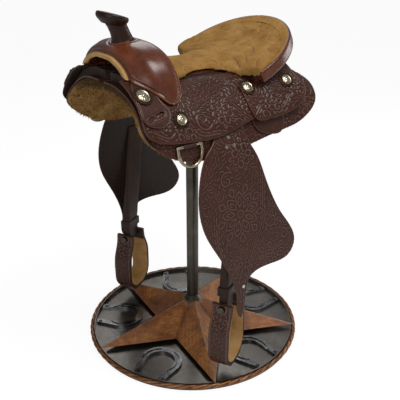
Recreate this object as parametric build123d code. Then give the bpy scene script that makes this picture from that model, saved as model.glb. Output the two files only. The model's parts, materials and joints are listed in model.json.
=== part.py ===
from build123d import *
from math import asin, atan, atan2, cos, degrees, radians, sin, sqrt, tan
import os

os.makedirs("parts", exist_ok=True)

# Saddle bar stool: a stock saddle that turns on a pipe post over a round steel base.
# The frame's origin is the middle of the base's underside, on the floor.
# The horn points to -Y, the rider's left is +X and Z is up. Sizes are in millimetres.

# Base
band_outer_radius = 294
plate_thickness = 5
band_wall = 3
band_height = 12
rope_radius = 6
base_radius = band_outer_radius + rope_radius
star_overhang = 5
star_reach = band_outer_radius + star_overhang
star_height = 81
star_sheet = 2
star_valley_share = 0.382
star_turn = -97.4
star_arms = 5
shoe_edge_gap = 81
shoe_place = band_outer_radius - shoe_edge_gap
shoe_outer = 59
shoe_web = 20
shoe_thickness = 8
shoe_heel_reach = 66
shoe_heel_spread = 39
shoe_groove_width = 6
shoe_groove_depth = 3
stud_radius = 4.5
stud_height = 4

# Post and swivel
post_outer = 33.4
post_wall = 3.4
post_top = 700
collar_width = 9
collar_height = 10
collar_clear = 0.4
spindle_diameter = 20
bush_flange = 3
lower_bush_length = 30
upper_bush_length = 40
spindle_reach = 170
thrust_thickness = 2
hub_diameter = 44
hub_height = 10
spindle_flange_diameter = 100
spindle_flange = 6
retainer_thickness = 3
retainer_screw = 8
retainer_head = 5
run_clearance = 0.05
seat_gap = 0.3
wrench_room = 1

# Arch of the saddle: a flat crest with two round flanks, rocked along its length
arch_centre = 592
arch_flat = 40
skirt_outer = 165
skirt_thickness = 5
fleece_thickness = 12
rocker_radius = 1500
rocker_spread = 13
saddle_reach = 265
channel_half = 12
pad_lift = 20
pad_radius = 166.5
leather = 4
flank_end = 92

# Tree and bracket
bar_end_angle = 44
bar_reach_share = 0.86
bracket_length = 230
bracket_width = 84
bracket_thickness = 5
bolt_diameter = 9.6
bolt_along = 85
bolt_across = 29
bolt_head = 6
bolt_head_width = 16
bolt_nut = 8
bolt_clearance = 0.4
strainer_thickness = 3
strainer_half_width = 74

# Fork, horn and gullet
fork_front = -243
fork_back = -138
fork_crest = 866
gullet_crest = 836
gullet_half_width = 104
swell_half_width = 149
swell_height = 790
fork_foot = 738
horn_base = (0, -192, 858)
horn_neck_top = (0, -214, 914)
horn_base_radius = 30
horn_neck_radius = 24
horn_cap_centre = (0, -220, 920)
horn_cap_radius = 38
horn_cap_thickness = 12
horn_cap_tilt = 17
horn_leather = 5
horn_waist_share = -0.3
horn_waist_place_share = 0.45
horn_core_share = 0.48
horn_core_length_share = 1.14
welt_radius = 5

# Seat and cantle
rim_radius = 163
rim_centre_y = 87
rim_centre_z = 789
rim_tilt = 27
seat_depth = 16
seat_front_depth = 4
seat_rows = 14
seat_nose = 100
seat_waist = 66
seat_front = -136
seat_low = 801
seat_low_y = 40
seat_front_rise = 14
seat_crown = 22
seat_dish = 6
roll_outer_radius = 176
roll_offset = 22
roll_thickness = 34
roll_round = 8
cantle_wall = 24
cantle_taper = 28
cantle_depth = 110
cantle_front = 82

# Fenders and stirrup leathers
hinge_angle = 61
hinge_y = -35
hinge_gap = 2.6
collar_gap = 0.35
fender_thickness = 4
fender_head = 24
fender_flat = 62
fender_bend = 80
fender_foot_x = 284
fender_foot_z = 184
pin_diameter = 10
pin_head = 20
pin_head_thickness = 1.8
pin_seat_gap = 0.8
pin_hole_gap = 0.25
leather_width = 50
leather_top = 572
twist_top = 430
keeper_height = 24
keeper_lift = 32
keeper_wall = 3
keeper_gap = 0.5
rivet_radius = 4.5
rivet_head = 1.5
rivet_shares = ((-0.02, 0.044), (-0.045, 0.082), (0.0, 0.082), (-0.02, 0.80))

# Stirrups
stirrup_x = 234
stirrup_y = -64
stirrup_turn = 28
stirrup_bottom = 46
stirrup_bolt_height = 176
stirrup_half_width = 59
stirrup_band = 54
stirrup_cover_thickness = 3
stirrup_frame_thickness = 7
stirrup_lining_thickness = 2.4
lining_gap = 0.25
stirrup_neck_half = 36
stirrup_top_margin = 12
stirrup_bolt = 10
lining_share = 0.86
roller_radius = 8
nut_width = 17
nut_height = 7
nut_clearance = 1.6

# Rigging rings
ring_width = 72
ring_depth = 54
ring_rod = 7
ring_angle = 75
ring_y = -156
ring_gap = 2
ring_bar_rise = 14
clip_wall = 1.2
clip_width = 34
clip_angle = 58
slot_width = 9

# Conchos
rosette_radii = (24, 21, 22, 21)
concho_radii = (17, 13, 14, 13)
concho_thickness = 3
concho_rim = 1.5
rosette_thickness = 2.2
scallops = 12

overrun = 400

parts = {}


def keep(name, shape):
    solids = shape.solids()
    parts[name] = solids[0] if len(solids) == 1 else Compound(children=list(solids))


def largest(shape):
    return max(shape.solids(), key=lambda solid: solid.volume)


def both(name, shape):
    keep(name + "_left", shape)
    keep(name + "_right", mirror(shape, about=Plane.YZ))


def ring(outer, inner, low, height):
    body = Cylinder(outer, height) - Cylinder(inner, height)
    return Pos(0, 0, low + height / 2) * body


def disc(radius, low, height):
    return Pos(0, 0, low + height / 2) * Cylinder(radius, height)


# Base

def base_plate():
    return disc(base_radius, 0, plate_thickness)


band_top = plate_thickness + band_height
star_low = band_top + seat_gap


def rim_band():
    return ring(band_outer_radius, band_outer_radius - band_wall, plate_thickness, band_height)


def rope_ring():
    middle = band_outer_radius + rope_radius + run_clearance
    return Pos(0, 0, plate_thickness + rope_radius + run_clearance) * Torus(middle, rope_radius)


def star_block(low):
    corners = []
    for arm in range(star_arms):
        tip = radians(star_turn + arm * 360 / star_arms)
        dip = tip + radians(180 / star_arms)
        corners.append((star_reach * cos(tip), star_reach * sin(tip), low))
        inner = star_reach * star_valley_share
        corners.append((inner * cos(dip), inner * sin(dip), low))
    edge = Wire(Polyline(*corners, close=True).edges())
    return Solid.make_loft([edge, Vertex(0, 0, low + star_height)], ruled=True)


def star():
    sheet = star_block(star_low) - star_block(star_low - star_sheet)
    return sheet - disc(post_outer / 2 + collar_clear, 0, overrun)


def shoe_outline(outer, heel, reach):
    edges = Circle(outer).edges()
    for side in (-1, 1):
        tip = Pos(reach, side * shoe_heel_spread) * Circle(heel)
        edges += tip.edges()
    return make_hull(edges)


def horseshoe():
    middle = shoe_outer - shoe_web / 2
    hollow = shoe_heel_spread / 2
    outline = shoe_outline(shoe_outer, shoe_web / 3, shoe_heel_reach)
    opening = Circle(shoe_outer - shoe_web)
    slot = [Pos(shoe_heel_reach + shoe_web, side * hollow) * Circle(shoe_web / 3) for side in (-1, 1)]
    opening = make_hull(opening.edges() + slot[0].edges() + slot[1].edges())
    iron = extrude(outline - opening, shoe_thickness)
    groove = Circle(middle + shoe_groove_width / 2) - Circle(middle - shoe_groove_width / 2)
    groove -= Pos(-shoe_outer, 0) * Rectangle(shoe_outer + shoe_web, 2 * hollow)
    iron -= Pos(0, 0, shoe_thickness - shoe_groove_depth) * extrude(groove, shoe_groove_depth)
    for side in (-1, 1):
        foot = Pos(shoe_heel_reach - stud_radius, side * shoe_heel_spread, shoe_thickness)
        iron += foot * Pos(0, 0, stud_height / 2) * Cylinder(stud_radius, stud_height)
    return iron


def horseshoes():
    shoes = []
    for arm in range(star_arms):
        turn = star_turn + (arm + 1 / 2) * 360 / star_arms
        place = Rot(0, 0, turn) * Pos(shoe_place, 0, plate_thickness)
        shoes.append(place * horseshoe())
    return Compound(children=[solid for shoe in shoes for solid in shoe.solids()])


# Post and swivel

bore = post_outer / 2 - post_wall
bush_inner = spindle_diameter / 2 + run_clearance


def post_tube():
    tube = ring(post_outer / 2, bore, plate_thickness, post_top - plate_thickness)
    outer = post_outer / 2
    low = star_low + star_height * (1 - (outer + collar_clear) / star_reach) + run_clearance
    bead = make_face(Polyline((outer, low), (outer + collar_width, low),
                              (outer, low + collar_height), close=True))
    bead = revolve(Plane.XZ * bead, Axis.Z)
    return tube + bead


def upper_bush():
    sleeve = ring(bore, bush_inner, post_top - upper_bush_length, upper_bush_length)
    return sleeve + ring(post_outer / 2, bush_inner, post_top, bush_flange)


spindle_shoulder = post_top + bush_flange + thrust_thickness
spindle_end = post_top - spindle_reach


def lower_bush():
    return ring(bore, bush_inner, spindle_end, lower_bush_length)


def thrust_washer():
    return ring(post_outer / 2, bush_inner, post_top + bush_flange, thrust_thickness)


flange_top = arch_centre + skirt_outer - skirt_thickness - fleece_thickness - 2 * seat_gap - bracket_thickness


def swivel_spindle():
    shaft = disc(spindle_diameter / 2, spindle_end, spindle_shoulder - spindle_end)
    hub = disc(hub_diameter / 2, spindle_shoulder, flange_top - spindle_shoulder)
    flange = disc(spindle_flange_diameter / 2, flange_top - spindle_flange, spindle_flange)
    tapped = disc(retainer_screw / 2, spindle_end, lower_bush_length)
    return shaft + hub + flange - tapped


def spindle_retainer():
    low = spindle_end - retainer_thickness
    washer = ring(bore - run_clearance * 4, retainer_screw / 2, low, retainer_thickness)
    screw = disc(retainer_screw / 2, low, retainer_thickness + lower_bush_length - retainer_head)
    head = disc(retainer_screw, low - retainer_head, retainer_head)
    return washer + screw + head


# Arch layers

rocker_axis = Axis((0, 0, arch_centre + rocker_radius), (1, 0, 0))


def flank_point(radius, angle, lift):
    return (arch_flat + radius * sin(angle), 0, arch_centre + lift + radius * cos(angle))


def arch_layer(inner, outer, lift=0, start=channel_half, end=flank_end):
    level = arch_centre + lift
    last = radians(end)
    if start < arch_flat:
        first = 0
        low = (start, 0, level + inner)
        high = (start, 0, level + outer)
        ends = [Line(low, flank_point(inner, 0, lift)), Line(flank_point(outer, 0, lift), high)]
    else:
        first = asin((start - arch_flat) / inner)
        low = flank_point(inner, first, lift)
        high = flank_point(outer, first, lift)
        ends = []
    middle = (first + last) / 2
    under = ThreePointArc(flank_point(inner, first, lift), flank_point(inner, middle, lift),
                          flank_point(inner, last, lift))
    over = ThreePointArc(flank_point(outer, first, lift), flank_point(outer, middle, lift),
                         flank_point(outer, last, lift))
    hem = Line(flank_point(inner, last, lift), flank_point(outer, last, lift))
    face = make_face([under, over, hem, Line(low, high)] + ends)
    face = face.rotate(rocker_axis, -rocker_spread)
    return revolve(face, rocker_axis, 2 * rocker_spread)


def arch_block(radius, lift=0):
    level = arch_centre + lift
    end = radians(flank_end)
    over = ThreePointArc(flank_point(radius, 0, lift), flank_point(radius, end / 2, lift),
                         flank_point(radius, end, lift))
    foot = flank_point(radius, end, lift)
    lines = [Line((0, 0, level + radius), flank_point(radius, 0, lift)), over,
             Line(foot, (0, 0, foot[2])), Line((0, 0, foot[2]), (0, 0, level + radius))]
    face = make_face(lines).rotate(rocker_axis, -rocker_spread)
    half = revolve(face, rocker_axis, 2 * rocker_spread)
    return half + mirror(half, about=Plane.YZ)


def side_point(share):
    return (share[0] * saddle_reach, arch_centre + share[1] * skirt_outer)


def side_cut(curve_shares, top_share=2.0):
    points = [side_point(share) for share in curve_shares]
    top = arch_centre + top_share * skirt_outer
    rest = Polyline(points[-1], (points[-1][0], top), (points[0][0], top), points[0])
    face = make_face([Spline(*points), rest])
    return extrude(Plane.YZ * face, overrun)


def side_patch(curve_shares):
    points = [side_point(share) for share in curve_shares]
    return extrude(Plane.YZ * make_face(Spline(*points, periodic=True)), overrun)


skirt_shares = [(-0.98, 1.1), (-0.985, 0.83), (-0.99, 0.61), (-0.905, 0.43), (-0.70, 0.22), (-0.40, 0.125),
                (0.10, 0.18), (0.51, 0.27), (0.72, 0.325), (0.875, 0.435), (0.97, 0.56), (1.0, 0.66),
                (0.985, 0.86), (0.90, 0.99), (0.84, 1.1)]
seat_jockey_shares = [(-1.0, 1.1), (-1.005, 0.85), (-1.0, 0.68), (-0.95, 0.585), (-0.82, 0.50), (-0.57, 0.44),
                      (-0.31, 0.415), (-0.10, 0.455), (0.10, 0.525), (0.25, 0.60), (0.32, 0.75),
                      (0.33, 1.1)]
rear_jockey_shares = [(0.12, 1.1), (0.13, 0.72), (0.18, 0.53), (0.32, 0.50), (0.52, 0.52), (0.67, 0.575),
                      (0.77, 0.66), (0.82, 0.76), (0.835, 0.88), (0.80, 1.0), (0.78, 1.1)]
rigging_plate_shares = [(-0.93, 1.22), (-0.985, 1.14), (-1.0, 0.98), (-1.0, 0.86), (-0.965, 0.78),
                        (-0.90, 0.735),
                        (-0.82, 0.715), (-0.765, 0.74), (-0.725, 0.80), (-0.705, 0.88), (-0.735, 0.97),
                        (-0.76, 1.08), (-0.80, 1.2), (-0.86, 1.25)]
rear_tab_shares = [(0.17, 0.56), (0.20, 0.36), (0.24, 0.315), (0.34, 0.265), (0.46, 0.255), (0.50, 0.30),
                   (0.51, 0.56)]
slot_shares = ((-0.94, 0.83), (-0.79, 0.87))


def fleece():
    outer = skirt_outer - skirt_thickness - seat_gap
    lining = arch_layer(outer - fleece_thickness, outer) & side_cut(skirt_shares)
    return lining - bolt_holes() - pin_hole(pin_head / 2 + seat_gap)


def skirt():
    sheet = arch_layer(skirt_outer - skirt_thickness, skirt_outer) & side_cut(skirt_shares)
    return sheet - bolt_holes() - pin_hole(pin_diameter / 2 + pin_hole_gap)


jockey_inner = pad_radius + seat_gap
second_inner = jockey_inner + leather + seat_gap
jockey_margin = 8
jockey_end = flank_end - jockey_margin
jockey_start = 92
upper_start = 96


def seat_jockey():
    sheet = arch_layer(jockey_inner, jockey_inner + leather, pad_lift, jockey_start, jockey_end)
    return sheet & side_cut(seat_jockey_shares)


def rear_jockey():
    sheet = arch_layer(second_inner, second_inner + leather, pad_lift, arch_flat / 2, jockey_end)
    return largest(sheet & side_cut(rear_jockey_shares) - cantle_clear())


def rigging_plate():
    sheet = arch_layer(second_inner, second_inner + leather, pad_lift, upper_start, jockey_end)
    plate = sheet & side_patch(rigging_plate_shares)
    ends = [side_point(share) for share in slot_shares]
    slot = [Pos(*end) * Circle(slot_width / 2) for end in ends]
    slot = make_hull(slot[0].edges() + slot[1].edges())
    return plate - extrude(Plane.YZ * slot, overrun)


def rear_rigging_tab():
    sheet = arch_layer(skirt_outer + seat_gap, skirt_outer + seat_gap + leather, 0, upper_start)
    return sheet & side_patch(rear_tab_shares)


# Tree and bracket

def bolt_spots():
    return [(across, along) for across in (-bolt_across, bolt_across) for along in (-bolt_along, bolt_along)]


def bolt_holes():
    holes = [Pos(x, y, arch_centre + skirt_outer) * Cylinder(bolt_diameter / 2 + bolt_clearance, overrun / 2)
             for x, y in bolt_spots()]
    return holes[0] + holes[1] + holes[2] + holes[3]


bolt_low = flange_top
bar_rise = rocker_radius - sqrt(rocker_radius ** 2 - bolt_along ** 2)
nut_seat = arch_centre + pad_lift + pad_radius + bar_rise - bolt_nut - 2 * seat_gap


def tree_bars():
    inner = skirt_outer + seat_gap
    low = arch_block(inner)
    high = arch_layer(skirt_outer - pad_lift, pad_radius, pad_lift, channel_half, bar_end_angle)
    reach = 2 * bar_reach_share * saddle_reach
    length = Pos(0, -fork_inset, arch_centre + skirt_outer) * Box(overrun, reach, overrun)
    bar = (high - low) & length
    pocket = bolt_head_width / 2 + wrench_room
    for x, y in bolt_spots():
        bar -= Pos(x, y, nut_seat + overrun / 4) * Cylinder(pocket, overrun / 2)
    bar -= bolt_holes()
    return Compound(children=list(bar.solids()) + list(mirror(bar, about=Plane.YZ).solids()))


fork_inset = 12


def bracket_plate():
    place = Pos(0, 0, flange_top + bracket_thickness / 2)
    plate = place * Box(bracket_width, bracket_length, bracket_thickness)
    plate = fillet(plate.edges().filter_by(Axis.Z), bolt_head_width)
    return plate - bolt_holes()


def bracket_bolts():
    bolts = []
    for x, y in bolt_spots():
        head = Pos(x, y) * extrude(RegularPolygon(bolt_head_width / 2, 6), bolt_head)
        shank = Pos(x, y) * disc(bolt_diameter / 2, bolt_low, nut_seat + bolt_nut - bolt_low)
        nut = Pos(x, y, nut_seat) * extrude(RegularPolygon(bolt_head_width / 2, 6), bolt_nut)
        bolts.append(Pos(0, 0, bolt_low - bolt_head) * head + shank + nut)
    return Compound(children=[solid for bolt in bolts for solid in bolt.solids()])


def ground_seat():
    sheet = arch_layer(jockey_inner, jockey_inner + strainer_thickness, pad_lift, 0, flank_end)
    sheet = sheet + mirror(sheet, about=Plane.YZ)
    low_y = fork_back + seat_gap
    high_y = bolt_along * 2
    middle = (low_y + high_y) / 2
    place = Pos(0, middle, arch_centre + overrun / 2)
    return sheet & place * Box(2 * strainer_half_width, high_y - low_y, overrun)


# Fork, horn and gullet

def gullet_curve(inset):
    width = gullet_half_width + inset
    crest = gullet_crest + inset
    drop = crest - fork_foot
    return Spline((1.05 * width, fork_foot), (width, fork_foot + 0.42 * drop),
                  (0.78 * width, fork_foot + 0.78 * drop),
                  (0.42 * width, fork_foot + 0.96 * drop), (0, crest), tangents=((0, 1), (-1, 0)))


fork_shares = ((0.0, 0.76, 0.875, 0.80), (0.12, 0.83, 0.945, 0.80), (0.28, 0.91, 0.985, 0.86),
               (0.41, 0.965, 1.0, 1.02), (0.56, 0.99, 1.0, 1.12), (0.77, 1.0, 1.0, 1.12),
               (0.92, 0.985, 0.96, 1.07), (1.0, 0.95, 0.90, 1.02))


def swell_face(along, wide, high, foot, inset):
    length = fork_back - fork_front - 2 * inset
    half = swell_half_width * wide - inset
    rise = (fork_crest - fork_foot) * high - inset
    spread = swell_half_width * foot - inset
    crown = Spline((0, rise), (0.45 * half, 0.96 * rise), (0.84 * half, 0.72 * rise), (half, 0.40 * rise),
                   (spread, 0), tangents=((1, 0), (spread - half, -0.40 * rise)))
    face = make_face([crown, Line((spread, 0), (0, 0)), Line((0, 0), (0, rise))])
    plane = Plane((0, fork_front + inset + along * length, fork_foot), x_dir=(1, 0, 0), z_dir=(0, -1, 0))
    return plane * face


def gullet_block(inset):
    inner = gullet_curve(inset)
    low = (0, (inner @ 0).Y)
    face = make_face([inner, Line(inner @ 1, low), Line(low, inner @ 0)])
    block = extrude(Plane.XZ * face, overrun, both=True)
    return block + mirror(block, about=Plane.YZ)


def fork_form(inset):
    half = loft([swell_face(*shares, inset) for shares in fork_shares])
    whole = half + mirror(half, about=Plane.YZ)
    return whole - gullet_block(inset) - arch_block(second_inner + leather + seat_gap, pad_lift)


def fork_cover():
    return fork_form(0) - fork_form(leather + seat_gap) - horn_body(seat_gap)


def tree_fork():
    hole = horn_hole(horn_neck_radius - horn_leather + seat_gap)
    return fork_form(leather + 2 * seat_gap) - horn_body(seat_gap) - hole


def gullet_welt():
    outer = gullet_curve(welt_radius)
    inner = gullet_curve(-welt_radius)
    face = make_face([outer, Line(outer @ 1, inner @ 1), inner, Line(inner @ 0, outer @ 0)])
    half = extrude(Plane.XZ * face, 2 * welt_radius)
    half = Pos(0, fork_front - seat_gap, 0) * half
    welt = half + mirror(half, about=Plane.YZ)
    long_edges = [edge for edge in welt.edges() if edge.length > gullet_half_width]
    welt = fillet(long_edges, 0.6 * welt_radius)
    return welt - arch_block(second_inner + leather + seat_gap, pad_lift)


horn_axis = Vector(*horn_neck_top) - Vector(*horn_base)


def horn_frame(share, radius):
    place = Vector(*horn_base) + horn_axis * share
    lean = degrees(atan2(-horn_axis.Y, horn_axis.Z)) * share
    return Pos(*place) * Rot(lean, 0, 0) * Circle(radius)


def horn_body(grow):
    middle = horn_neck_radius + (horn_base_radius - horn_neck_radius) * horn_waist_share
    radii = ((0, horn_base_radius), (horn_waist_place_share, middle), (1, horn_neck_radius))
    return loft([horn_frame(share, radius + grow) for share, radius in radii])


horn_lean = degrees(atan2(-horn_axis.Y, horn_axis.Z))
cap_place = Pos(*horn_cap_centre) * Rot(-horn_cap_tilt, 0, 0)


def horn_hole(radius):
    middle = Vector(*horn_base) + horn_axis * 0.5
    return Pos(*middle) * Rot(horn_lean, 0, 0) * Cylinder(radius, 2 * horn_axis.length)


def above_neck():
    half = overrun / 2
    depth = half - horn_cap_thickness / 2 - run_clearance
    return cap_place * Pos(0, 0, depth) * Box(overrun, overrun, overrun)


def horn_core():
    middle = Vector(*horn_base) + horn_axis * horn_core_share
    rod = Cylinder(horn_neck_radius - horn_leather, horn_core_length_share * horn_axis.length)
    core = Pos(*middle) * Rot(horn_lean, 0, 0) * rod
    return core - above_neck()


def horn_wrap():
    return horn_body(0) - horn_hole(horn_neck_radius - horn_leather + run_clearance) - above_neck()


def horn_cap():
    cap = Cylinder(horn_cap_radius, horn_cap_thickness)
    return cap_place * fillet(cap.edges().filter_by(GeomType.CIRCLE), horn_cap_thickness * 0.42)


# Seat and cantle

rim_frame = Pos(0, rim_centre_y, rim_centre_z) * Rot(rim_tilt, 0, 0)
rim_back_y = rim_centre_y + rim_radius * cos(radians(rim_tilt))
rim_back_z = rim_centre_z + rim_radius * sin(radians(rim_tilt))


def seat_height(x, y):
    if y < seat_low_y:
        share = (seat_low_y - y) / (seat_low_y - seat_front)
        middle = seat_low + seat_front_rise * share ** 2
        crown = seat_crown * (1 - 0.35 * abs(2 * share - 1))
        half = jockey_start
    else:
        share = (y - seat_low_y) / (rim_back_y - seat_low_y)
        middle = seat_low + (rim_back_z - seat_low) * share ** 2.3
        crown = seat_crown * (1 - share) ** 2.6 * 0.9 - seat_dish * sin(3.1 * share)
        half = jockey_start + (rim_radius - jockey_start) * share ** 0.5
    return middle - crown * (x / half) ** 2


def seat_surface(drop):
    reach = rim_radius * 1.06
    ahead = seat_front * 1.1
    behind = rim_back_y * 1.05
    rows = []
    for row in range(seat_rows + 1):
        y = ahead + (behind - ahead) * row / seat_rows
        line = []
        for column in range(seat_rows + 1):
            x = reach * (2 * column / seat_rows - 1)
            line.append(Vector(x, y, seat_height(x, y) - drop))
        rows.append(line)
    return Face.make_surface_from_array_of_points(rows, tol=seat_gap / 2)


def seat_outline():
    waist = seat_waist
    back = (rim_radius + seat_depth, rim_centre_y)
    side = Spline((seat_nose, seat_front), (0.9 * seat_nose, 0.64 * seat_front), (waist, 0.2 * seat_front),
                  (1.6 * waist, 0.55 * rim_centre_y), (2.15 * waist, 0.8 * rim_centre_y), back)
    rest = Polyline(back, (back[0], overrun), (0, overrun), (0, seat_front), (seat_nose, seat_front))
    face = make_face([side, rest])
    half = Pos(0, 0, arch_centre) * extrude(face, overrun)
    return half + mirror(half, about=Plane.YZ)


def behind_rim():
    outside = Pos(0, overrun / 2 - roll_offset, 0) * Box(2 * overrun, overrun, 2 * overrun)
    outside -= Cylinder(rim_radius, 2 * overrun)
    return rim_frame * outside


def seat_body(drop, depth):
    return Solid.extrude(seat_surface(drop), Vector(0, 0, -depth))


def seat():
    pad = seat_body(0, seat_depth + seat_front_depth) & seat_outline()
    pad -= behind_rim()
    pad -= arch_block(jockey_inner + leather + seat_gap, pad_lift)
    return pad


def rim_cone(inset, depth):
    lean = depth * tan(radians(cantle_taper))
    top = rim_radius - inset
    return rim_frame * Pos(0, 0, -depth / 2) * Cone(top - lean, top, depth)


def cantle_block(inset):
    block = rim_cone(inset, cantle_depth)
    place = Pos(0, cantle_front - overrun, arch_centre + overrun / 2)
    block -= place * Box(2 * overrun, 2 * overrun, 2 * overrun)
    block -= arch_block(jockey_inner + leather + seat_gap, pad_lift)
    return block & seat_body(seat_depth + seat_front_depth + seat_gap, overrun)


def tree_cantle():
    return cantle_block(leather + seat_gap) - rim_cone(leather + cantle_wall, cantle_depth + seat_depth)


def cantle_back():
    return cantle_block(0) - rim_cone(leather, cantle_depth + seat_depth)


def cantle_clear():
    return rim_cone(-seat_gap, 2 * cantle_depth)


def cantle_roll():
    shape = Pos(0, roll_offset) * Circle(roll_outer_radius) - Circle(rim_radius + seat_gap)
    shape -= Pos(0, -overrun - roll_offset / 2) * Rectangle(2 * overrun, 2 * overrun)
    roll = Pos(0, 0, -roll_thickness) * extrude(shape, roll_thickness)
    edges = [edge for edge in roll.edges() if edge.length > 2 * rim_radius and edge.radius > rim_radius + 1]
    return rim_frame * fillet(edges, roll_round)


# Places on the arch

def level_plane(angle, y, radius, lift=0):
    turn = radians(angle)
    rise = rocker_radius - sqrt(rocker_radius ** 2 - y ** 2)
    x = arch_flat + radius * sin(turn)
    z = arch_centre + lift + rise + radius * cos(turn)
    return Plane((x, y, z), x_dir=(0, 1, 0), z_dir=(sin(turn), 0, cos(turn)))


def arch_plane(angle, y, radius, lift=0):
    turn = radians(angle)
    pivot = arch_centre + rocker_radius
    reach = rocker_radius - lift - radius * cos(turn)
    rock = asin(y / reach)
    place = (arch_flat + radius * sin(turn), y, pivot - reach * cos(rock))
    out = (sin(turn), -cos(turn) * sin(rock), cos(turn) * cos(rock))
    return Plane(place, x_dir=(0, cos(rock), sin(rock)), z_dir=out)


concho_places = ((-240, 37.6), (-165, 56.9), (53, 40), (174, 44))


def concho_set(maker):
    solids = []
    for index, (y, angle) in enumerate(concho_places):
        radius = jockey_inner + leather if index == 1 else second_inner + leather
        piece = arch_plane(angle, y, radius + seat_gap, pad_lift) * maker(index)
        solids += piece.solids() + mirror(piece, about=Plane.YZ).solids()
    return Compound(children=list(solids))


def rosette(index):
    reach = rosette_radii[index]
    lobe = reach * sin(radians(180 / scallops))
    shape = Circle(reach - lobe)
    for turn in range(scallops):
        shape += Rot(0, 0, turn * 360 / scallops) * Pos(reach - lobe, 0) * Circle(lobe)
    return extrude(shape, rosette_thickness)


def concho(index):
    radius = concho_radii[index]
    lift = rosette_thickness + run_clearance
    coin = Pos(0, 0, lift + concho_rim / 2) * Cylinder(radius, concho_rim)
    dome = radius * 0.85
    ball = (dome ** 2 + concho_thickness ** 2) / (2 * concho_thickness)
    cap = Pos(0, 0, lift + concho_rim + concho_thickness - ball) * Sphere(ball)
    cap &= Pos(0, 0, lift + concho_rim + overrun / 2 - seat_gap) * Cylinder(dome, overrun)
    return coin + cap


def rosettes():
    return concho_set(rosette)


def conchos():
    return concho_set(concho)


# Rigging rings and clips

ring_frame = level_plane(ring_angle, ring_y, skirt_outer + ring_gap + ring_rod / 2)


def rigging_ring():
    rod = ring_rod / 2
    bow = ring_width / 2 - rod
    low = ring_bar_rise - (ring_depth - ring_rod - bow)
    shape = Torus(bow, rod) & Pos(0, -overrun / 2, 0) * Box(overrun, overrun, overrun)
    shape = Pos(0, low, 0) * shape
    for side in (-1, 1):
        bar = Cylinder(rod, ring_bar_rise - low)
        leg = Pos(side * bow, (low + ring_bar_rise) / 2, 0) * Rot(90, 0, 0) * bar
        shape += leg + Pos(side * bow, ring_bar_rise, 0) * Sphere(rod)
    shape += Pos(0, ring_bar_rise, 0) * Rot(0, 90, 0) * Cylinder(rod, 2 * bow)
    return ring_frame * shape


def ring_clip():
    inner = ring_rod / 2 + run_clearance
    outer = inner + clip_wall
    loop = Rot(0, 90, 0) * (Cylinder(outer, clip_width) - Cylinder(inner, overrun))
    loop = ring_frame * Pos(0, ring_bar_rise, 0) * loop
    start = skirt_outer + seat_gap
    strip = arch_layer(start, start + clip_wall, 0, jockey_start)
    bar = ring_frame.from_local_coords(Vector(0, ring_bar_rise, 0))
    top = arch_centre + skirt_outer * cos(radians(clip_angle))
    height = top - bar.Z
    strip &= Pos(bar.X, ring_y, bar.Z + height / 2 + ring_rod / 2) * Box(overrun, clip_width, height)
    return loop + strip


def mirrored(shape):
    return Compound(children=list(shape.solids()) + list(mirror(shape, about=Plane.YZ).solids()))


def ring_clips():
    return mirrored(ring_clip())


# Fenders

hinge_frame = level_plane(hinge_angle, hinge_y, skirt_outer + hinge_gap)
hinge_x = hinge_frame.origin.X
hinge_z = hinge_frame.origin.Z
slope_dir = (cos(radians(hinge_angle)), -sin(radians(hinge_angle)))


def pin_hole(radius):
    return hinge_frame * Pos(0, 0, -skirt_outer / 4) * Cylinder(radius, skirt_outer / 2 + 2 * leather)


def hanger_pin():
    foot = -(hinge_gap + skirt_thickness + pin_seat_gap)
    head = fender_thickness + seat_gap
    shank = Pos(0, 0, (foot + head) / 2) * Cylinder(pin_diameter / 2, head - foot)
    cap = Pos(0, 0, head + pin_head_thickness / 2) * Cylinder(pin_head / 2, pin_head_thickness)
    base = Pos(0, 0, foot - pin_head_thickness / 2) * Cylinder(pin_head / 2, pin_head_thickness)
    collar = Pos(0, 0, -hinge_gap / 2) * Cylinder(pin_head / 2, hinge_gap - 2 * collar_gap)
    return hinge_frame * (shank + cap + base + collar)


def hanger_pins():
    return mirrored(hanger_pin())


def fender_line(offset):
    top = (hinge_x - fender_head * slope_dir[0], hinge_z - fender_head * slope_dir[1])
    bend = (hinge_x + fender_flat * slope_dir[0], hinge_z + fender_flat * slope_dir[1])
    foot = (fender_foot_x, fender_foot_z)
    run = (foot[0] - bend[0], foot[1] - bend[1])
    size = sqrt(run[0] ** 2 + run[1] ** 2)
    first = (-slope_dir[1], slope_dir[0])
    second = (-run[1] / size, run[0] / size)
    mix = 1 + first[0] * second[0] + first[1] * second[1]
    shift = (offset * (first[0] + second[0]) / mix, offset * (first[1] + second[1]) / mix)
    corner = (bend[0] + shift[0], bend[1] + shift[1])
    start = (top[0] + offset * first[0], top[1] + offset * first[1])
    end = (foot[0] + offset * second[0], foot[1] + offset * second[1])
    return FilletPolyline(start, corner, end, radius=fender_bend + offset)


def fender_sheet():
    inner = fender_line(0)
    outer = fender_line(fender_thickness)
    face = make_face([inner, outer, Line(inner @ 0, outer @ 0), Line(inner @ 1, outer @ 1)])
    sheet = extrude(Plane.XZ * face, overrun / 2, both=True)
    return Pos(0, hinge_y, 0) * sheet


fender_drop = hinge_z - fender_foot_z
fender_shares = [(0.0, -0.049), (-0.085, -0.025), (-0.10, 0.03), (-0.17, 0.09), (-0.225, 0.20),
                 (-0.245, 0.33), (-0.225, 0.46), (-0.155, 0.60), (-0.09, 0.74), (-0.067, 0.86), (-0.07, 0.93),
                 (-0.05, 0.965), (-0.03, 0.93), (-0.008, 0.86), (0.03, 0.765), (0.09, 0.742), (0.22, 0.742),
                 (0.315, 0.722), (0.355, 0.66), (0.335, 0.58), (0.27, 0.48), (0.215, 0.37), (0.175, 0.26),
                 (0.135, 0.15), (0.10, 0.08), (0.09, 0.02), (0.08, -0.03)]


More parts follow.
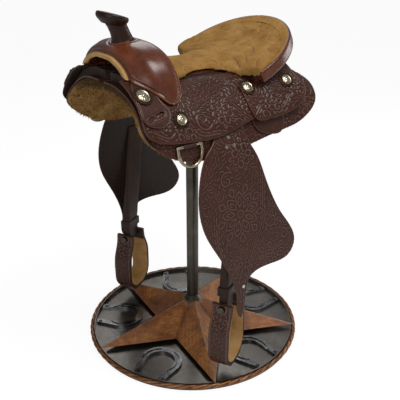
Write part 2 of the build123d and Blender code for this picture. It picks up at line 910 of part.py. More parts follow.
def fender():
    points = [(hinge_y + y * fender_drop, hinge_z - z * fender_drop) for y, z in fender_shares]
    outline = extrude(Plane.YZ * make_face(Spline(*points, periodic=True)), overrun)
    return fender_sheet() & outline - pin_hole(pin_diameter / 2 + run_clearance)


# Stirrup leathers, stirrups and their fastenings

bolt_z = stirrup_bottom + stirrup_bolt_height
loop_inner = roller_radius + seat_gap
loop_outer = loop_inner + leather


def stirrup_frame_at(side, rise=0):
    return Pos(side * stirrup_x, stirrup_y, stirrup_bottom + rise) * Rot(0, 0, stirrup_turn)


def strap_section(side, z, drift, turn, thick):
    top_x = fender_line_x(leather_top) - leather / 2 - seat_gap
    x = top_x + (stirrup_x - top_x) * drift
    y = hinge_y + (stirrup_y - hinge_y) * drift
    return Pos(side * x, y, z) * Rot(0, 0, turn) * Rectangle(thick, leather_width)


def stirrup_leather(side):
    eye_top = bolt_z + keeper_lift + keeper_height + seat_gap
    middle = (twist_top + eye_top) / 2
    drifts = [(leather_top - z) / (leather_top - eye_top) for z in (twist_top, middle)]
    thick = (leather + 2 * loop_outer) / 2
    upper = loft([strap_section(side, leather_top, 0, 0, leather),
                  strap_section(side, twist_top, drifts[0], 0, leather)], ruled=True)
    lower = loft([strap_section(side, twist_top, drifts[0], 0, leather),
                  strap_section(side, middle, drifts[1], stirrup_turn / 2, thick),
                  strap_section(side, eye_top, 1, stirrup_turn, 2 * loop_outer)], ruled=True)
    rise = eye_top - bolt_z
    eye = Rot(90, 0, 0) * Cylinder(loop_outer, leather_width)
    eye += Pos(0, 0, rise / 2) * Box(2 * loop_outer, leather_width, rise)
    eye -= Rot(90, 0, 0) * Cylinder(loop_inner, overrun)
    return upper + lower + stirrup_frame_at(side, stirrup_bolt_height) * eye


def keeper(side):
    wide = leather_width + 2 * keeper_gap
    deep = 2 * loop_outer + 2 * keeper_gap
    band = Box(deep + 2 * keeper_wall, wide + 2 * keeper_wall, keeper_height) - Box(deep, wide, keeper_height)
    return stirrup_frame_at(side, stirrup_bolt_height + keeper_lift + keeper_height / 2) * band


def stirrup_side(offset):
    half = stirrup_half_width - offset
    neck = stirrup_neck_half - offset
    top = stirrup_bolt_height + stirrup_top_margin
    return Spline((neck, top), (neck + 0.12 * (half - neck), 0.86 * top),
                  (0.86 * half + 0.14 * neck, 0.64 * top), (half, 0.38 * top), (0.9 * half, 0.16 * top),
                  (0.58 * half, 0.03 * top + offset), (0, offset),
                  tangents=((0, -1), (-1, 0)))


def stirrup_form(offset):
    side = stirrup_side(offset)
    face = make_face([side, Line(side @ 1, (0, (side @ 0).Y)), Line((0, (side @ 0).Y), side @ 0)])
    half = extrude(Plane.YZ * face, stirrup_band / 2, both=True)
    return half + mirror(half, about=Plane.XZ)


def bolt_bore(radius):
    return Pos(0, 0, stirrup_bolt_height) * Rot(90, 0, 0) * Cylinder(radius, overrun)


def stirrup_cover(side):
    shell = stirrup_form(0) - stirrup_form(stirrup_cover_thickness)
    return stirrup_frame_at(side) * (shell - bolt_bore(nut_width / 2 + wrench_room))


def stirrup_frame(side):
    outer = stirrup_cover_thickness + run_clearance
    shell = stirrup_form(outer) - stirrup_form(outer + stirrup_frame_thickness)
    return stirrup_frame_at(side) * (shell - bolt_bore(stirrup_bolt / 2 + run_clearance))


def stirrup_lining(side):
    outer = stirrup_cover_thickness + stirrup_frame_thickness + lining_gap
    shell = stirrup_form(outer) - stirrup_form(outer + stirrup_lining_thickness)
    height = lining_share * stirrup_bolt_height
    return stirrup_frame_at(side) * (shell & Pos(0, 0, height / 2) * Box(overrun, overrun, height))


def stirrup_bolt_set(side):
    reach = stirrup_neck_half - stirrup_cover_thickness + nut_clearance
    shank = Cylinder(stirrup_bolt / 2, 2 * reach + nut_height)
    roller = Cylinder(roller_radius, leather_width) - Cylinder(stirrup_bolt / 2 + run_clearance, overrun)
    nut = extrude(RegularPolygon(nut_width / 2, 6), nut_height / 2, both=True)
    rod = shank + Pos(0, 0, -reach - nut_height / 2) * nut + Pos(0, 0, reach + nut_height / 2) * nut
    place = stirrup_frame_at(side, stirrup_bolt_height) * Rot(90, 0, 0)
    return Compound(children=list((place * rod).solids()) + list((place * roller).solids()))


def fender_rivets():
    solids = []
    for y_share, z_share in rivet_shares:
        z = hinge_z - z_share * fender_drop
        place = Pos(fender_line_x(z), hinge_y + y_share * fender_drop, z) * Rot(0, fender_tilt(z), 0)
        lift = fender_thickness + rivet_head / 2 + run_clearance
        solids += (place * Pos(0, 0, lift) * Cylinder(rivet_radius, rivet_head)).solids()
    return Compound(children=list(solids))


bend_x = hinge_x + fender_flat * slope_dir[0]
bend_z = hinge_z + fender_flat * slope_dir[1]
fender_lean = (fender_foot_x - bend_x) / (bend_z - fender_foot_z)


def fender_line_x(z):
    if z > bend_z:
        return hinge_x - (hinge_z - z) * slope_dir[0] / slope_dir[1]
    return bend_x + (bend_z - z) * fender_lean


def fender_tilt(z):
    if z > bend_z:
        return hinge_angle
    return 90 - degrees(atan(fender_lean))


single = (base_plate, rim_band, rope_ring, star, horseshoes, post_tube, upper_bush, lower_bush,
          thrust_washer, swivel_spindle, spindle_retainer, bracket_plate, bracket_bolts, tree_bars,
          ground_seat, tree_fork, fork_cover, gullet_welt, horn_core, horn_wrap, horn_cap, seat,
          tree_cantle, cantle_back, cantle_roll, rosettes, conchos, hanger_pins, ring_clips)
paired = (fleece, skirt, seat_jockey, rear_jockey, rigging_plate, rear_rigging_tab, rigging_ring, fender,
          fender_rivets)
hanging = (stirrup_leather, keeper, stirrup_frame, stirrup_cover, stirrup_lining, stirrup_bolt_set)

for maker in single:
    keep(maker.__name__, maker())
for maker in paired:
    both(maker.__name__, maker())
for maker in hanging:
    keep(maker.__name__ + "_left", maker(1))
    keep(maker.__name__ + "_right", maker(-1))
for name, shape in parts.items():
    export_step(shape, "parts/" + name + ".step")
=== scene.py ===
import json
import math
import random

import bmesh
import bpy
import numpy as np
from mathutils import Matrix, Vector, kdtree
from mathutils.bvhtree import BVHTree


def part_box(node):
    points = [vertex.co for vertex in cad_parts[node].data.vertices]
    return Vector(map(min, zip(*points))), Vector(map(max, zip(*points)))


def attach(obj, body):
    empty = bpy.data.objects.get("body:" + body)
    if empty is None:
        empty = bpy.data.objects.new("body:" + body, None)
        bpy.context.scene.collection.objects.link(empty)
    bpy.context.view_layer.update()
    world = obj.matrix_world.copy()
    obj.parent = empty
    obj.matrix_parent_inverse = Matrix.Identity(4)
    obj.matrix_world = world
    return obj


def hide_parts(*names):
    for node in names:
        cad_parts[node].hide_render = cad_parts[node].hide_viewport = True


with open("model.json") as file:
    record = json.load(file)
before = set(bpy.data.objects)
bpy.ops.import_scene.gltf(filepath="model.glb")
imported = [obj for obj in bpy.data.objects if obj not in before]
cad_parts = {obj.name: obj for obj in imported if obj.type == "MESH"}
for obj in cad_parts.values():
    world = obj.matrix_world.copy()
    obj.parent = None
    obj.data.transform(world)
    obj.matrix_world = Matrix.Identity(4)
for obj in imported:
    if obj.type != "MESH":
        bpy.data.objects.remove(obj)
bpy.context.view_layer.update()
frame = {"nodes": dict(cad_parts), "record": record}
print("frame loaded")

mm = 0.001
bodyOf = {node: body for body, nodes in frame["record"]["behaviour"]["bodies"].items() for node in nodes}

# The saddle's arch, as the part has it: a flat crest, two round flanks, rocked along its length.
# The last four are the outer radii of the sheets that lie on it.
arch = {"centre": 592, "flat": 40, "rocker": 1500, "padLift": 20,
        "skirt": 165, "tab": 169.3, "seatJockey": 170.8, "rearJockey": 175.1}


# Small tools

def dress(obj, *materials):
    obj.data.materials.clear()
    for material in materials:
        obj.data.materials.append(material)


def finishPiece(obj, node):
    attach(obj, bodyOf[node])
    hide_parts(node)


def linked(name, data):
    obj = bpy.data.objects.new(name, data)
    bpy.context.scene.collection.objects.link(obj)
    return obj


def smoothShaded(mesh):
    mesh.polygons.foreach_set("use_smooth", [True] * len(mesh.polygons))


def newObject(name, bm):
    mesh = bpy.data.meshes.new(name)
    bm.to_mesh(mesh)
    bm.free()
    smoothShaded(mesh)
    return linked(name, mesh)


def applied(obj):
    graph = bpy.context.evaluated_depsgraph_get()
    graph.update()
    mesh = bpy.data.meshes.new_from_object(obj.evaluated_get(graph))
    obj.modifiers.clear()
    obj.data = mesh


def remeshed(obj, voxel):
    voxels = obj.modifiers.new("voxels", "REMESH")
    voxels.mode, voxels.voxel_size, voxels.use_smooth_shade = "VOXEL", voxel * mm, True
    applied(obj)


def nodeMesh(node):
    bm = bmesh.new()
    bm.from_mesh(frame["nodes"][node].data)
    bmesh.ops.remove_doubles(bm, verts=bm.verts, dist=0.02 * mm)
    bm.normal_update()
    return bm


def rimPoints(bm, sharp=42, step=1.0):
    points = []
    for edge in bm.edges:
        if len(edge.link_faces) == 2 and math.degrees(edge.calc_face_angle(0)) > sharp:
            a, b = edge.verts[0].co, edge.verts[1].co
            count = max(1, int((b - a).length / (step * mm)))
            points += [a.lerp(b, i / count) for i in range(count + 1)]
    return points


def nearTree(points):
    tree = kdtree.KDTree(len(points))
    for index, point in enumerate(points):
        tree.insert(point, index)
    tree.balance()
    return tree


def nearest(tree, points):
    if tree.find(points[0])[2] is None:  # an empty tree: everything is far away
        return np.full(len(points), 1.0)
    return np.array([tree.find(point)[2] for point in points])


def readPoints(mesh, name="co"):
    flat = np.empty(len(mesh.vertices) * 3)
    mesh.vertices.foreach_get(name, flat)
    return flat.reshape(-1, 3)


def writePoints(mesh, points):
    mesh.vertices.foreach_set("co", points.ravel())
    mesh.update()


def pushOut(obj, points, away, depth):
    points += away * (depth * mm)[:, None]
    writePoints(obj.data, points)


def writeValues(obj, **layers):
    for name, values in layers.items():
        layer = obj.data.attributes.new(name, "FLOAT", "POINT")
        layer.data.foreach_set("value", np.asarray(values, dtype=np.float32))


def relaxMesh(obj, rounds, factor=0.5):
    bm = bmesh.new()
    bm.from_mesh(obj.data)
    for turn in range(rounds):
        bmesh.ops.smooth_vert(bm, verts=bm.verts, factor=factor,
                              use_axis_x=True, use_axis_y=True, use_axis_z=True)
    bm.to_mesh(obj.data)
    bm.free()
    obj.data.update()


# A fine even mesh of a node, its points, their normals, and how far each lies from a sharp edge in mm
def fineMesh(label, node, voxel, relax=2, snap=True):
    bm = nodeMesh(node)
    rim = nearTree(rimPoints(bm))
    surface = BVHTree.FromBMesh(bm)
    obj = newObject(label, bm)
    remeshed(obj, voxel)
    if snap:
        points = readPoints(obj.data)
        for index, point in enumerate(points):
            points[index] = surface.find_nearest(point)[0]
        writePoints(obj.data, points)
    relaxMesh(obj, relax)
    points = readPoints(obj.data)
    return obj, points, readPoints(obj.data, "normal"), nearest(rim, points) / mm


def softRim(edge, radius):
    near = np.clip(edge, 0, radius)
    return radius - np.sqrt(np.maximum(radius ** 2 - (radius - near) ** 2, 0))


def bell(distance, centre, width):
    return np.exp(-((distance - centre) / width) ** 2)


# Each band is a height, the distance of its middle and its width
def bands(distance, rows):
    return sum(height * bell(distance, middle, width) for height, middle, width in rows)


def dashes(phase, strength=1.5):
    return np.clip(strength * np.cos(phase) + 0.9, 0, 1)


def fadeIn(distance, start=5.8, run=1.4):
    return np.clip((distance - start) / run, 0, 1)


def fadeOut(distance, start, run):
    return np.clip(1 - (distance - start) / run, 0, 1)


def flatPoints(x, y):
    return np.stack([x, y, np.zeros(len(x))], axis=1)


def inFrame(points, place):
    back = np.array(place.inverted())
    return (points @ back[:3, :3].T + back[:3, 3]) / mm


# Where each point lies on the arch: along the saddle, down the flank, its radius and the way out
def archChart(points, lift):
    pivot = (arch["centre"] + arch["rocker"]) * mm
    drop = pivot - points[:, 2]
    reach = np.hypot(points[:, 1], drop)
    rock = np.arcsin(points[:, 1] / reach)
    across = np.abs(points[:, 0]) - arch["flat"] * mm
    up = pivot - reach - (arch["centre"] + lift) * mm
    turn = np.arctan2(np.maximum(across, 0), up)
    radius = np.where(across > 0, np.hypot(across, up), up)
    side = np.sign(points[:, 0])
    out = np.stack([np.sin(turn) * side, -np.cos(turn) * np.sin(rock), np.cos(turn) * np.cos(rock)], axis=1)
    along = points[:, 1] / mm
    down = np.where(across > 0, arch["flat"] + radius / mm * turn, np.abs(points[:, 0]) / mm)
    return along, down, radius / mm, out


# Tooling: the pattern's lines, drawn flat in millimetres, stand up between grooves; the tool value they leave
# also paints the raised lines lighter as a painted highlight and the grooves darker as painted shade

toolLook = {"margin": 60, "ground": 0.12, "inside": 5.5,
            "main": {"gap": 5.2, "least": 8, "bands": [(0.95, 0, 1.4), (-0.5, 3.0, 1.3)]},
            "fill": {"gap": 5.6, "least": 12, "bands": [(0.7, 0, 1.25), (-0.35, 2.7, 1.2)]},
            "edge": [(-0.7, 4.2, 0.7), (0.25, 2.6, 0.9)]}


def strokePetal(x, y, turn, start, reach, width):
    t = np.linspace(0, 1, 30)
    bulge = width * np.sin(np.pi * t ** 1.25)
    along = start + (reach - start) * np.concatenate([t, t[::-1]])
    off = np.concatenate([bulge, -bulge[::-1]])
    return [np.stack([x + along * np.cos(turn) - off * np.sin(turn),
                      y + along * np.sin(turn) + off * np.cos(turn)], axis=1)]


def strokeHook(x, y, turn, length, bend):
    t = np.linspace(0, 1, 24)
    heading = turn + bend * t
    steps = np.stack([np.cos(heading), np.sin(heading)], axis=1) * length / len(t)
    return [np.array((x, y)) + np.cumsum(steps, axis=0)]


def strokeRing(x, y, radius):
    t = np.linspace(0, 2 * np.pi, 40)
    return [np.stack([x + radius * np.cos(t), y + radius * np.sin(t)], axis=1)]


def strokeFlower(x, y, size, petals, turn):
    lines = strokeRing(x, y, 0.16 * size)
    for index in range(petals):
        angle = turn + 2 * np.pi * index / petals
        half = np.pi * 0.62 * size / petals * 0.9
        lines += strokePetal(x, y, angle, 0.3 * size, size, half)
    for index in range(petals):
        angle = turn + 2 * np.pi * index / petals
        if size > 30:
            lines += strokePetal(x, y, angle, 0.46 * size, 0.78 * size, 0.07 * size)
        lines += strokePetal(x, y, angle + np.pi / petals, 0.86 * size, 1.3 * size, 0.14 * size)
    return lines


def strokeScroll(x, y, size, turn, hand, loops=1.1):
    t = np.linspace(0, 1, 70)
    radius = size * (1 - 0.8 * t)
    angle = turn + hand * 2 * np.pi * loops * t
    spine = np.stack([x + radius * np.cos(angle), y + radius * np.sin(angle)], axis=1)
    lines = [spine]
    for index in range(2, 60, 7):
        lines += strokeHook(spine[index, 0], spine[index, 1], angle[index] + hand * 0.5,
                            size * (0.9 - 0.5 * t[index]), hand * 1.3)
    return lines


def smoothPath(points, step=1.0):
    points = np.array(points, float)
    pts = np.vstack([2 * points[0] - points[1], points, 2 * points[-1] - points[-2]])
    rows = []
    for index in range(1, len(pts) - 2):
        p0, p1, p2, p3 = pts[index - 1:index + 3]
        count = max(2, int(np.hypot(*(p2 - p1)) / step))
        t = np.linspace(0, 1, count, endpoint=False)[:, None]
        rows.append(0.5 * (2 * p1 + (p2 - p0) * t + (2 * p0 - 5 * p1 + 4 * p2 - p3) * t ** 2
                           + (3 * p1 - p0 - 3 * p2 + p3) * t ** 3))
    rows.append(pts[-2][None, :])
    return np.vstack(rows)


def strokeStem(points, leaf=24.0, pitch=8.5):
    path = smoothPath(points)
    lines = [path]
    steps = np.diff(path, axis=0)
    run = np.concatenate([[0], np.cumsum(np.hypot(steps[:, 0], steps[:, 1]))])
    place, side = 0.5 * pitch, 1
    while place < run[-1] - 2:
        index = min(int(np.searchsorted(run, place)), len(steps) - 1)
        heading = math.atan2(steps[index, 1], steps[index, 0]) + side * 0.95
        lines += strokeHook(path[index, 0], path[index, 1], heading, leaf, -side * 1.5)
        place += 0.5 * pitch
        side = -side
    return lines


def strokeFill(area, seed, length=24.0):
    draw = random.Random(seed)
    low, high = area
    lines = []
    for attempt in range(int((high[0] - low[0]) * (high[1] - low[1]) / 14)):
        x = draw.uniform(low[0], high[0])
        y = draw.uniform(low[1], high[1])
        swing = 1.7 * math.sin(x * 0.026 + 0.6) + 1.6 * math.cos(y * 0.031) + draw.uniform(-0.1, 0.1)
        lines += strokeHook(x, y, swing, draw.uniform(0.6, 1.0) * length, 1.4)
    return lines


def spread(line, step=0.7):
    gaps = np.hypot(*np.diff(line, axis=0).T)
    run = np.concatenate([[0], np.cumsum(gaps)])
    places = np.linspace(0, run[-1], max(2, int(run[-1] / step)))
    return np.stack([np.interp(places, run, line[:, axis]) for axis in (0, 1)], axis=1)


# The lines that still have room: each cell of the grid that a line has taken is closed to the next
def woven(lines, taken, low, look):
    gap = look["gap"]
    reach = int(gap) + 1
    around = np.array([(i, j) for i in range(-reach, reach + 1) for j in range(-reach, reach + 1)
                       if math.hypot(i, j) <= gap])
    kept = []
    for line in lines:
        dense = spread(line)
        cells = np.clip((dense - low).astype(int), 0, np.array(taken.shape) - 1)
        free = ~taken[cells[:, 0], cells[:, 1]]
        if free.sum() < look["least"]:
            continue
        kept.append(dense[free])
        marked = np.clip(cells[free][:, None] + around, 0, np.array(taken.shape) - 1).reshape(-1, 2)
        taken[marked[:, 0], marked[:, 1]] = True
    return kept


def drawTooling(plan, area, seed):
    lines = []
    for spec in plan.get("flowers", ()):
        lines += strokeFlower(*spec)
    for spec in plan.get("stems", ()):
        lines += strokeStem(spec)
    for spec in plan.get("scrolls", ()):
        lines += strokeScroll(*spec)
    low, high = np.array(area[0]) - toolLook["margin"], np.array(area[1]) + toolLook["margin"]
    taken = np.zeros((high - low).astype(int) + 2, bool)
    main = woven(lines, taken, low, toolLook["main"])
    fill = woven(strokeFill(area, seed), taken, low, toolLook["fill"])
    return [nearTree([(x, y, 0) for line in kept for x, y in line]) for kept in (main, fill)]


def cutTooling(along, down, trees):
    main, fill = (nearest(tree, flatPoints(along, down)) for tree in trees)
    strong = bands(main, toolLook["main"]["bands"])
    weak = bands(fill, toolLook["fill"]["bands"])
    return np.where(main < fill, strong, weak) - toolLook["ground"]


# Materials

def add(tree, kind, values=(), **settings):
    made = tree.nodes.new("ShaderNode" + kind)
    for key, value in settings.items():
        setattr(made, key, value)
    for key, value in dict(values).items():
        if hasattr(value, "is_output"):
            tree.links.new(value, made.inputs[key])
        else:
            made.inputs[key].default_value = value
    return made


def startMaterial(name):
    mat = bpy.data.materials.new(name)
    mat.use_nodes = True
    tree = mat.node_tree
    shader = tree.nodes["Principled BSDF"]
    place = add(tree, "TexCoord").outputs["Object"]
    return mat, tree, shader, place


def noiseOf(tree, place, scale, detail=4.0, rough=0.55, warp=0.0):
    return add(tree, "TexNoise", {"Vector": place, "Scale": scale, "Detail": detail, "Roughness": rough,
                                  "Distortion": warp}).outputs["Fac"]


def rampOf(tree, fac, stops):
    made = add(tree, "ValToRGB", {"Fac": fac})
    while len(made.color_ramp.elements) < len(stops):
        made.color_ramp.elements.new(0.5)
    for element, (position, colour) in zip(made.color_ramp.elements, stops):
        element.position = position
        element.color = (*colour, 1)
    return made.outputs["Color"]


def mixOf(tree, fac, first, second):
    made = add(tree, "Mix", data_type="RGBA")
    for socket, value in ((made.inputs[0], fac), (made.inputs[6], first), (made.inputs[7], second)):
        if hasattr(value, "is_output"):
            tree.links.new(value, socket)
        else:
            socket.default_value = value if socket is made.inputs[0] else (*value, 1)
    return made.outputs[2]


def rangeOf(tree, value, low, high, toLow=0.0, toHigh=1.0):
    return add(tree, "MapRange", {"Value": value, "From Min": low, "From Max": high,
                                  "To Min": toLow, "To Max": toHigh}).outputs["Result"]


def mathOf(tree, kind, first, second=0.0):
    return add(tree, "Math", {0: first, 1: second}, operation=kind).outputs[0]


def times(tree, first, second):
    return mathOf(tree, "MULTIPLY", first, second)


def plus(tree, first, second):
    return mathOf(tree, "ADD", first, second)


def minus(tree, first, second):
    return mathOf(tree, "SUBTRACT", first, second)


def valueOf(tree, name):
    return add(tree, "Attribute", attribute_name=name).outputs["Fac"]


def bumpOf(tree, height, distance, strength=1.0, normal=None):
    made = add(tree, "Bump", {"Height": height, "Distance": distance, "Strength": strength})
    if normal:
        tree.links.new(normal, made.inputs["Normal"])
    return made.outputs["Normal"]


def shade(tree, shader, colour=None, rough=None, normal=None, **fixed):
    for key, socket in (("Base Color", colour), ("Roughness", rough), ("Normal", normal)):
        if socket is not None:
            tree.links.new(socket, shader.inputs[key])
    for key, value in fixed.items():
        shader.inputs[key.replace("_", " ")].default_value = value


def tint(colour, share):
    return tuple(min(1.0, c * share) for c in colour)


# Each look's colour for the raised tooled lines is a painted highlight, and its colour for the underside is
# painted shade
leatherLooks = {
    "tooled": {"colour": (0.054, 0.0170, 0.0105), "warm": (0.078, 0.025, 0.013), "lip": (0.165, 0.080, 0.056),
               "edge": (0.16, 0.045, 0.018), "back": (0.020, 0.009, 0.005), "rough": 0.36, "coat": 0.2,
               "grain": 0.12, "shine": 0.3},
    "polished": {"colour": (0.098, 0.022, 0.008), "warm": (0.165, 0.042, 0.014), "lip": (0.26, 0.09, 0.035),
                 "edge": (0.10, 0.03, 0.014), "back": (0.05, 0.022, 0.012), "rough": 0.30, "coat": 0.42,
                 "grain": 0.08, "shine": 0.35},
    "wrapped": {"colour": (0.020, 0.0085, 0.006), "warm": (0.036, 0.014, 0.009), "lip": (0.10, 0.055, 0.04),
                "edge": (0.05, 0.02, 0.012), "back": (0.012, 0.006, 0.005), "rough": 0.36, "coat": 0.12,
                "grain": 0.10, "shine": 0.2},
    "strap": {"colour": (0.022, 0.010, 0.006), "warm": (0.055, 0.025, 0.010), "lip": (0.14, 0.08, 0.045),
              "edge": (0.10, 0.04, 0.016), "back": (0.05, 0.025, 0.010), "rough": 0.48, "coat": 0.08,
              "grain": 0.18, "shine": 0.25},
}


def leatherMaterial(name, look):
    mat, tree, shader, place = startMaterial(name)
    patches = noiseOf(tree, place, 16, 5, 0.6)
    streaks = noiseOf(tree, place, 95, 4, 0.6, 0.6)
    colour = rampOf(tree, patches, [(0.28, tint(look["colour"], 0.78)), (0.5, look["colour"]),
                                    (0.74, look["warm"])])
    colour = mixOf(tree, rangeOf(tree, streaks, 0.35, 0.75, 0.0, 0.35), colour, tint(look["warm"], 1.25))
    tool = valueOf(tree, "tool")
    lip = rangeOf(tree, tool, 0.05, 0.5)
    groove = rangeOf(tree, tool, -0.08, -0.5)
    # Painted highlight: the raised tooled lines are lightened
    colour = mixOf(tree, times(tree, lip, 0.6), colour, look["lip"])
    # Painted shade: the tooled grooves are darkened
    colour = mixOf(tree, times(tree, groove, 0.5), colour, tint(look["colour"], 0.5))
    # Painted shade: the underside is darkened
    colour = mixOf(tree, valueOf(tree, "back"), colour, look["back"])
    colour = mixOf(tree, valueOf(tree, "rim"), colour, look["edge"])
    stitch = valueOf(tree, "stitch")
    colour = mixOf(tree, stitch, colour, (0.34, 0.24, 0.16))
    grain = add(tree, "TexVoronoi", {"Vector": place, "Scale": 780.0, "Randomness": 0.9},
                feature="SMOOTH_F1").outputs["Distance"]
    pores = noiseOf(tree, place, 1500, 3)
    normal = bumpOf(tree, plus(tree, grain, pores), look["grain"] * mm, 0.75)
    normal = bumpOf(tree, noiseOf(tree, place, 60, 3), 0.5 * mm, 0.4, normal)
    rough = rangeOf(tree, plus(tree, streaks, valueOf(tree, "back")), 0.3, 1.5,
                    look["rough"] - 0.07, look["rough"] + 0.28)
    shade(tree, shader, colour, rough, normal, Coat_Weight=look["coat"], Coat_Roughness=0.22,
          Specular_IOR_Level=look["shine"])
    return mat


def suedeMaterial(name, look):
    mat, tree, shader, place = startMaterial(name)
    nap = noiseOf(tree, place, 260, 6, 0.7, 0.4)
    blotch = noiseOf(tree, place, 22, 5, 0.62)
    hand = noiseOf(tree, place, 7, 3, 0.5, 0.5)
    colour = rampOf(tree, blotch, [(0.26, look["dark"]), (0.48, look["colour"]), (0.72, look["light"])])
    colour = mixOf(tree, rangeOf(tree, nap, 0.3, 0.7, 0.0, 0.45), colour, tint(look["dark"], 0.8))
    colour = mixOf(tree, rangeOf(tree, hand, 0.52, 0.72, 0.0, 0.4), colour, look["light"])
    # Painted shade: darker along the seat's deep quilted rows and at the top of the fleece, under the skirt
    colour = mixOf(tree, valueOf(tree, "soil"), colour, look["soil"])
    colour = mixOf(tree, valueOf(tree, "rim"), colour, look["edge"])
    colour = mixOf(tree, valueOf(tree, "stitch"), colour, look["thread"])
    fibre = noiseOf(tree, place, 900, 4, 0.75)
    normal = bumpOf(tree, fibre, 0.35 * mm, 0.8)
    normal = bumpOf(tree, nap, 0.8 * mm, 0.5, normal)
    shade(tree, shader, colour, None, normal, Roughness=0.93, Sheen_Weight=0.1, Sheen_Roughness=0.45,
          Specular_IOR_Level=0.2)
    shader.inputs["Sheen Tint"].default_value = (*look["light"], 1)
    return mat


suedeLooks = {
    "seat": {"colour": (0.36, 0.188, 0.049), "dark": (0.23, 0.108, 0.024), "light": (0.49, 0.275, 0.084),
             "soil": (0.05, 0.030, 0.018), "edge": (0.20, 0.10, 0.035), "thread": (0.55, 0.36, 0.15)},
    "lining": {"colour": (0.52, 0.30, 0.115), "dark": (0.34, 0.18, 0.060), "light": (0.68, 0.44, 0.20),
               "soil": (0.06, 0.03, 0.015), "edge": (0.42, 0.27, 0.12), "thread": (0.55, 0.36, 0.17)},
    "fleece": {"colour": (0.31, 0.165, 0.050), "dark": (0.17, 0.085, 0.023), "light": (0.46, 0.275, 0.105),
               "soil": (0.05, 0.028, 0.010), "edge": (0.15, 0.08, 0.028), "thread": (0.3, 0.2, 0.1)},
}


def steelMaterial(name, look):
    mat, tree, shader, place = startMaterial(name)
    stretched = add(tree, "Mapping", {"Vector": place, "Scale": look.get("stretch", (1, 1, 1))}).outputs[0]
    patches = noiseOf(tree, place, look.get("patch", 12), 6, 0.62, 0.3)
    lines = noiseOf(tree, stretched, look.get("brush", 300), 4, 0.6)
    colour = rampOf(tree, patches, [(0.3, look["dark"]), (0.52, look["colour"]), (0.75, look["light"])])
    colour = mixOf(tree, rangeOf(tree, lines, 0.35, 0.7, 0, 0.35), colour, look["dark"])
    if "rust" in look:
        spots = noiseOf(tree, place, look["rustScale"], 6, 0.7, 0.8)
        colour = mixOf(tree, rangeOf(tree, spots, *look["rustRange"]), colour, look["rust"])
    # Darker in grooves: on the rope ring this is dark rust and painted shade between the strands; on the
    # conchos it darkens their flutes and rings
    colour = mixOf(tree, valueOf(tree, "ink"), colour, look.get("ink", (0.05, 0.045, 0.04)))
    colour = mixOf(tree, valueOf(tree, "gilt"), colour, look.get("gilt", look["light"]))
    rough = rangeOf(tree, plus(tree, patches, lines), 0.6, 1.4, *look["rough"])
    normal = bumpOf(tree, lines, look.get("scratch", 0.05) * mm, 0.6)
    normal = bumpOf(tree, patches, look.get("dent", 0.3) * mm, 0.5, normal)
    shade(tree, shader, colour, rough, normal, Metallic=look.get("metal", 1.0),
          Coat_Weight=look.get("coat", 0.0), Coat_Roughness=0.12)
    return mat


steelLooks = {
    "plate": {"colour": (0.26, 0.245, 0.225), "dark": (0.17, 0.157, 0.142), "light": (0.38, 0.36, 0.335),
              "patch": 5, "brush": 120, "rough": (0.24, 0.46), "coat": 0.2, "dent": 0.5,
              "rust": (0.17, 0.125, 0.09), "rustScale": 9, "rustRange": (0.55, 0.8)},
    "rope": {"colour": (0.40, 0.185, 0.080), "dark": (0.17, 0.070, 0.030), "light": (0.72, 0.45, 0.28),
             "patch": 30, "brush": 200, "rough": (0.28, 0.5), "ink": (0.035, 0.014, 0.006),
             "rust": (0.36, 0.13, 0.04), "rustScale": 40, "rustRange": (0.45, 0.7), "metal": 0.75},
    "shoe": {"colour": (0.30, 0.30, 0.305), "dark": (0.13, 0.128, 0.125), "light": (0.55, 0.55, 0.55),
             "patch": 28, "brush": 300, "rough": (0.16, 0.34), "dent": 0.35, "scratch": 0.03},
    "post": {"colour": (0.12, 0.108, 0.088), "dark": (0.065, 0.058, 0.046), "light": (0.20, 0.18, 0.15),
             "patch": 14, "brush": 420, "stretch": (1, 1, 0.02), "rough": (0.28, 0.46), "coat": 0.15,
             "scratch": 0.12},
    "zinc": {"colour": (0.42, 0.42, 0.41), "dark": (0.28, 0.28, 0.27), "light": (0.60, 0.60, 0.58),
             "patch": 60, "brush": 500, "rough": (0.25, 0.45)},
    "rivet": {"colour": (0.72, 0.70, 0.64), "dark": (0.45, 0.42, 0.36), "light": (0.86, 0.85, 0.80),
              "patch": 150, "brush": 700, "rough": (0.16, 0.32)},
    "bronze": {"colour": (0.40, 0.25, 0.10), "dark": (0.26, 0.15, 0.05), "light": (0.52, 0.36, 0.17),
               "patch": 60, "brush": 500, "rough": (0.3, 0.5)},
    "ring": {"colour": (0.60, 0.50, 0.33), "dark": (0.36, 0.27, 0.14), "light": (0.80, 0.74, 0.60),
             "patch": 45, "brush": 400, "rough": (0.18, 0.38)},
    "concho": {"colour": (0.66, 0.63, 0.55), "dark": (0.40, 0.37, 0.30), "light": (0.85, 0.83, 0.76),
               "patch": 160, "brush": 800, "rough": (0.16, 0.36), "gilt": (0.56, 0.40, 0.16),
               "ink": (0.06, 0.05, 0.038)},
}


starLook = {"rust": (0.29, 0.098, 0.023), "dark": (0.10, 0.034, 0.010), "orange": (0.60, 0.235, 0.055),
            "worn": (0.42, 0.36, 0.29), "turn": -97.4, "arms": 5,
            "ridge": (0.0066, 0.0040), "tips": (0.265, 0.284), "hub": (0.052, 0.038), "crease": (0.008, 0.0)}


